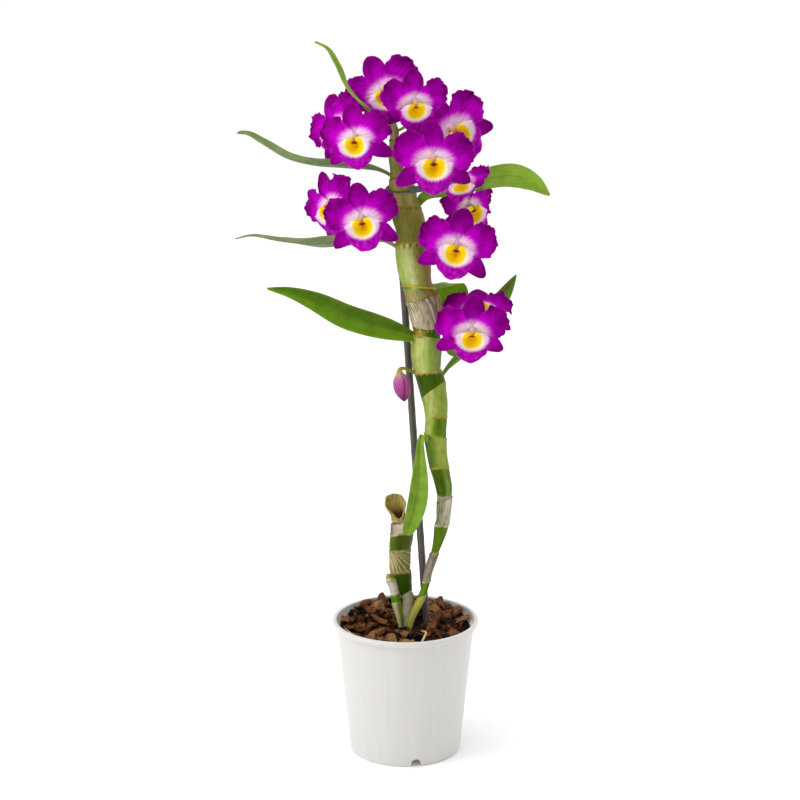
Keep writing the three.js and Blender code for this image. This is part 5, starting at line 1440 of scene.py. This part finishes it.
def crinkles(angle, rates, phases):
    """A sum of waves round a margin."""
    return sum(height * np.sin(rate * angle + phase) for (rate, height), phase in zip(rates, phases))


def tepal(kind, one, draw):
    """A sepal or petal: the plain form, with a frilled and scalloped margin, pleats and a warp."""
    heading = math.radians(one["angle"] + draw.normal(0, 3.5))
    # Rows lie closer together towards the tip, whose outline is a round one.
    t = np.linspace(0, 1, kind["rows"])[:, None]
    u = 0.3 * t + 0.7 * np.sin(math.pi / 2 * t)
    v = np.linspace(-1, 1, kind["columns"])[None, :]
    past = np.clip((u - 0.56) / 0.44, 0, 1)
    half = one["width"] * np.where(u < 0.56, outline(u, 0.3, 0.56, 1),
                                   np.sqrt(np.clip(1 - past ** one["blunt"], 0.002, 1)))
    far = one["root"] + one["length"] * u
    edge = 1 - (1 - np.abs(v) ** 3 * smooth(u / 0.4)) * (1 - u**6)
    turn = np.arctan2(half * v, far - one["root"] - 0.45 * one["length"])
    phase = draw.uniform(0, FULL_TURN, 6)
    frill = crinkles(turn, TEPAL_FRILL, phase[:4])
    scallop = 1 + 0.026 * kind["frill"] * edge * crinkles(turn, TEPAL_SCALLOP, phase[[4, 5, 3]])
    crimp = kind["ruffle"] * u * u * v * v * np.sin(kind["waves"] * math.pi * u * np.sign(v) + 2.2 * v)
    # Soft dents of 6 to 10 mm. Painted shade darkens the deepest dents, the troughs of crimp and frill,
    # and the margin towards the tip.
    outer = smooth(u * 2.4 - 0.5)
    dents = kind["dents"] * ripple(far / 5, half * v / 4, int(phase[0] * 999), 14, 0.5, 1.7) * outer
    valley = (0.55 * smooth(0.15 - 1.1 * dents / kind["dents"]) * outer + 0.5 * smooth(-crimp / 1.6)
              + 0.4 * smooth(-frill / 1.6) * edge + 0.35 * edge**2 * u)
    crest = kind["ruffle"] * 0.5 * u**4 * np.cos(3 * math.pi * v)
    pleats = 0.13 * np.sin(22 * v + phase[1]) * np.sin(math.pi * u) * (0.4 + kind["frill"])
    twist, cup, bow = draw.normal(0, kind["warp"], 3)
    z = (kind["depth"] + kind["rise"] * np.sin(math.pi * u) - kind["recurve"] * u * u + crimp + crest
         + kind["frill"] * edge**1.6 * frill + pleats + dents
         + 0.6 * u * (twist * v + cup * (v * v - 0.4)) * u + 0.4 * bow * np.sin(math.pi * u) * u)
    centre = one["root"] + 0.45 * one["length"]
    far = centre + (far - centre) * scallop
    offset = half * v * scallop
    x = far * math.cos(heading) - offset * math.sin(heading)
    y = far * math.sin(heading) + offset * math.cos(heading)
    middle = np.stack([x, y, z + 0 * x], -1)
    thickness = kind["margin"] + (kind["thickness"] - kind["margin"]) * (1 - edge**2)
    grain = np.stack([v * one["width"] + 0 * u + phase[5] * 9, far, 0 * far], -1)
    return blade(middle, thickness, PETAL_SKIN, grain, reach=petal_reach(x, y, one["pale"]),
                 edge=edge**10, valley=np.clip(valley, 0, 1))


def lip(draw):
    """The lip: a round bowl with a flared, crimped margin, notched where the column stands."""
    share = (np.linspace(0, 1, LIP["rings"] + 1)[1:, None]) ** 0.85
    angle = turns_of(LIP["spokes"])[None, :]
    top = bell(np.cos(angle), 0.3)
    tall = np.where(np.sin(angle) > 0, LIP["above"] - (LIP["above"] - LIP["notch"]) * top, LIP["below"])
    upper = smooth((np.sin(angle) - 0.15) / 0.3)
    bowl = LIP["bowl"] * np.sin(math.pi / 2 * np.minimum(1, (share * 1.35) ** 1.35))
    phase = draw.uniform(0, FULL_TURN, 6)
    frill = crinkles(angle, LIP_FRILL, phase[:4])
    crimp = LIP["ruffle"] * share**4 * np.cos(LIP["waves"] * angle)
    crimp = crimp + LIP["frill"] * share**5 * frill * (1 - 0.6 * upper)
    flare = LIP["flare"] * share**3 * (1 - 0.8 * upper) + upper * 4 * top * share
    scallop = 1 + 0.018 * share**6 * crinkles(angle, LIP_SCALLOP, phase[4:])
    veins = 0.07 * np.sin(30 * angle + phase[2]) * np.sin(math.pi * share)
    x = LIP["centre"][0] + LIP["half_width"] * share * scallop * np.cos(angle)
    y = LIP["centre"][1] + tall * share * scallop * np.sin(angle)
    z = LIP["centre"][2] + bowl - flare + crimp + veins
    middle = np.stack([x, y, z], -1)
    around = unit(np.roll(middle, -1, 1) - np.roll(middle, 1, 1))
    normal = unit(np.cross(np.gradient(middle, axis=0), around))
    half = LIP["thickness"] / 2 * (1 - 0.5 * share**4)[..., None] * np.ones_like(middle)
    layers = [middle + normal * half, middle - normal * half]
    grid = np.concatenate([layers[0], layers[1][::-1]])
    dx, dy = x - DISC["centre"][0], y - DISC["centre"][1]
    heading = np.arctan2(dy, dx)
    cleft = 1 - DISC["cleft"] * bell(heading + math.pi / 2, 0.3)
    disc = np.hypot(dx / DISC["wide"], dy / np.where(dy > 0, DISC["high"], DISC["low"])) / cleft
    low = np.clip(-np.sin(heading), 0, 1)
    far = DISC["halo_side"] + (DISC["halo_low"] - DISC["halo_side"]) * smooth(low)
    far = far + 14 * smooth(np.sin(heading) * 1.6)
    halo = np.hypot(dx, dy) / far
    lean = draw.uniform(-0.5, 0.5)
    # The throat mask: painted shadow under the column, and a fainter patch lower down where orange streaks
    # run.
    throat = hill(x, y, (lean, -3.4), (4.4, 2.5))
    throat = np.maximum(throat, 0.5 * hill(x, y, (6 * lean, -6), (4, 6)))
    grain = np.stack([heading * 11 + 0 * x, np.hypot(dx, dy), 0 * x + phase[0] * 9], -1)
    twice = lambda value: np.concatenate([value, value[::-1]])
    part = closed_tube(grid, LIP_SKIN, twice(grain), disc=twice(disc), halo=twice(halo), throat=twice(throat))
    # The rings run outward on the front, so every face is turned over; a triangle keeps its -1 last.
    part.faces = part.faces[:, ::-1]
    triangles = part.faces[:, 0] < 0
    part.faces[triangles] = np.roll(part.faces[triangles], -1, axis=1)
    return part


def column_part():
    """The short column over the throat: pink-white above, cream at the sides, maroon under its cap."""
    t = np.linspace(0, 1, COLUMN["rows"])
    radii = COLUMN["radius"] * (1.02 - 0.12 * t + 0.1 * bell(t - 0.86, 0.1))
    radii = radii * np.sqrt(np.clip((1.02 - t) / 0.12, 0, 1))
    angle, along = turns_of(COLUMN["columns"]), t[:, None]
    below = angle - 1.5 * math.pi
    raised = -0.5 * bell(below, 0.7) * bell(along - 0.6, 0.22)
    under = bell(below, 1.1) * smooth((along - 0.35) / 0.3)
    under = np.maximum(under, smooth((along - 0.86) / 0.1) * (np.sin(angle) < 0.55))
    tint = paint(bands(COLUMN["colours"], t, COLUMN["columns"]), COLUMN["under"], under)
    return limb(curve_through(COLUMN["path"], COLUMN["rows"]), radii, WAXY_COLUMN, COLUMN["columns"], raised,
                tint)


def heart_part():
    """The swelling that sepals, petals and lip grow from."""
    u = np.linspace(-math.pi / 2, math.pi / 2, HEART["rows"] + 2)[1:-1, None]
    v = turns_of(HEART["columns"])
    ball = np.stack([np.cos(u) * np.cos(v), np.cos(u) * np.sin(v), np.sin(u) + 0 * v], -1)
    grid = np.array(HEART["centre"]) + np.array(HEART["size"]) * ball
    return closed_tube(grid, PETAL_SKIN, grid, reach=petal_reach(grid[..., 0], grid[..., 1], HEART["pale"]))


def bloom_place(bloom):
    """Turns a bloom's own frame to the plant's: a 3x3 matrix, scaled, and the seat."""
    basis = Matrix(((1, 0, 0), (0, 0, -1), (0, 1, 0)))
    turn = (Matrix.Rotation(math.radians(bloom["turn"]), 3, "Z")
            @ Matrix.Rotation(math.radians(-bloom["tilt"]), 3, "X")
            @ Matrix.Rotation(math.radians(-bloom["roll"]), 3, "Y") @ basis)
    return np.array(turn) * bloom["size"], np.array(bloom["at"], float)


def build_bloom(bloom, seed):
    draw = np.random.default_rng(seed)
    parts = [tepal(SEPAL, one, draw) for one in SEPALS] + [tepal(PETAL, one, draw) for one in PETALS]
    parts += [lip(draw), column_part(), heart_part()]
    turn, at = bloom_place(bloom)
    for part in parts:
        part.points = part.points @ turn.T + at
    seat, tail = [turn @ np.array(STALK[key]) + at for key in ("seat", "tail")]
    joint = np.array(bloom["joint"], float)
    bend = joint + (tail - joint) * 0.45 + np.array(bloom["bend"])
    t = np.linspace(0, 1, STALK["rows"])
    radii = STALK["radius"] * (0.85 + 0.75 * bell(t - 0.05, 0.16) + 0.25 * smooth((t - 0.92) / 0.08))
    parts.append(limb(curve_through([seat, tail, bend, joint], STALK["rows"]), radii, FLOWER_STALK,
                      STALK["columns"], tint=bands(STALK["colours"], t, STALK["columns"])))
    make_piece(bloom["name"] + "_flower", parts, [bloom["name"]])


# ---- Bud ---------------------------------------------------------------------------------------------
def build_bud():
    """A closed bud: three sepals wrapped round each other, hanging from a green-tan stalk."""
    seat, tip = np.array(BUD["seat"]), np.array(BUD["tip"])
    rows, columns = BUD["rows"], BUD["columns"]
    t = np.linspace(0, 1, rows)
    swell = np.interp(t, *zip(*BUD_SWELL))
    swell = np.convolve(np.pad(swell, 2, mode="edge"), np.ones(5) / 5, mode="valid")
    path = seat + (tip - seat) * t[:, None]
    path[:, 0] += BUD["sway"] * np.sin(math.pi * t)
    angle, along = turns_of(columns), t[:, None]
    # Seams of the three overlapping sepals wind a little as they run to the tip.
    wound = 3 * (angle - 0.7 * along + 1.15)
    seam = bell((wound + math.pi) % FULL_TURN - math.pi, 0.32)
    overlap = (wound % FULL_TURN) / FULL_TURN - 0.5
    raised = (0.7 * overlap - 0.55 * seam) * np.sin(math.pi * t)[:, None] ** 0.6
    raised = raised + 0.15 * ripple(angle * 2, along * 6, 3)
    tint = paint(bands(BUD["colours"], t, columns), BUD["seam"], 0.8 * seam)
    tint = paint(tint, BUD["blush"], 0.35 * smooth(np.cos(angle) - 0.2))
    body = limb(path, BUD["radius"] * swell, BUD_SKIN, columns, raised, tint)
    s = np.linspace(0, 1, BUD_STALK["rows"])
    bend = [seat + (tip - seat) * 0.08, seat + np.array([1.6, 1, 2.4]), BUD_STALK["arch"], BUD_STALK["joint"]]
    radii = BUD_STALK["radius"] * (0.85 + 0.9 * bell(s - 0.06, 0.13))
    stalk = limb(curve_through(bend, BUD_STALK["rows"]), radii, FLOWER_STALK, BUD_STALK["columns"],
                 tint=bands(BUD_STALK["colours"], s, BUD_STALK["columns"]))
    make_piece("closed_bud", [body, stalk], ["bud"])


# ---- Studio ------------------------------------------------------------------------------------------
SUN = dict(energy=1.4, angle=70, turn=-60, rise=74)
FILL = dict(energy=10.0, size=1.0, place=(1.4, 1.0, 1.0))
KEY = dict(energy=21.5, size=1.2, place=(-2.1, -0.76, 1.3))
SKY = dict(colour="#ffffff", strength=0.62)
AIM = (0, 0, 0.35)
FLOOR_HALF = 15.0


def build_studio():
    """A pale floor without a horizon, soft light from the front left and a weak fill from the right."""
    corners = [(x * FLOOR_HALF, y * FLOOR_HALF, 0) for x, y in ((-1, -1), (1, -1), (1, 1), (-1, 1))]
    floor = temporary("studio_floor", corners, [[0, 1, 2, 3]])
    floor.data.materials.append(STUDIO_FLOOR)
    sun = bpy.data.lights.new("sun", "SUN")
    sun.energy, sun.angle = SUN["energy"], math.radians(SUN["angle"])
    holder = bpy.data.objects.new("sun", sun)
    holder.rotation_euler = (math.radians(90 - SUN["rise"]), 0, math.radians(SUN["turn"]))
    bpy.context.scene.collection.objects.link(holder)
    for name, light in (("fill", FILL), ("key", KEY)):
        area = bpy.data.lights.new(name, "AREA")
        area.energy, area.size = light["energy"], light["size"]
        holder = bpy.data.objects.new(name, area)
        holder.location = light["place"]
        toward = Vector(AIM) - Vector(light["place"])
        holder.rotation_euler = toward.to_track_quat("-Z", "Y").to_euler()
        bpy.context.scene.collection.objects.link(holder)
    world = bpy.data.worlds.new("studio")
    world.use_nodes = True
    sky = world.node_tree.nodes["Background"]
    sky.inputs["Color"].default_value = linear(SKY["colour"])
    sky.inputs["Strength"].default_value = SKY["strength"]
    bpy.context.scene.world = world
    bpy.context.scene.view_settings.view_transform = "Standard"


# ---- The plant ---------------------------------------------------------------------------------------
add_camera()
build_pot()
build_bark()
build_roots()
build_cane("main_cane", CANE_MAIN, MAIN_STRETCHES, MAIN_RINGS, MAIN_FRINGES, "cane_main", 100)
build_cane("cut_cane", CANE_CUT, CUT_STRETCHES, CUT_RINGS, CUT_FRINGES, "cane_cut", 300)
build_cane("young_side_shoot", SIDE_SHOOT, SHOOT_STRETCHES, SHOOT_RINGS, [], "side_shoot", 500,
           columns=48)
build_husk()
for sheath in SHEATHS:
    build_sheath(sheath)
build_stake()
build_clip()
for number, leaf in enumerate(LEAVES):
    build_leaf(leaf, LEAF["seed"] + number)
for number, bloom in enumerate(BLOOMS):
    build_bloom(bloom, bloom.get("seed", BLOOM_SEED + number))
build_bud()
build_studio()
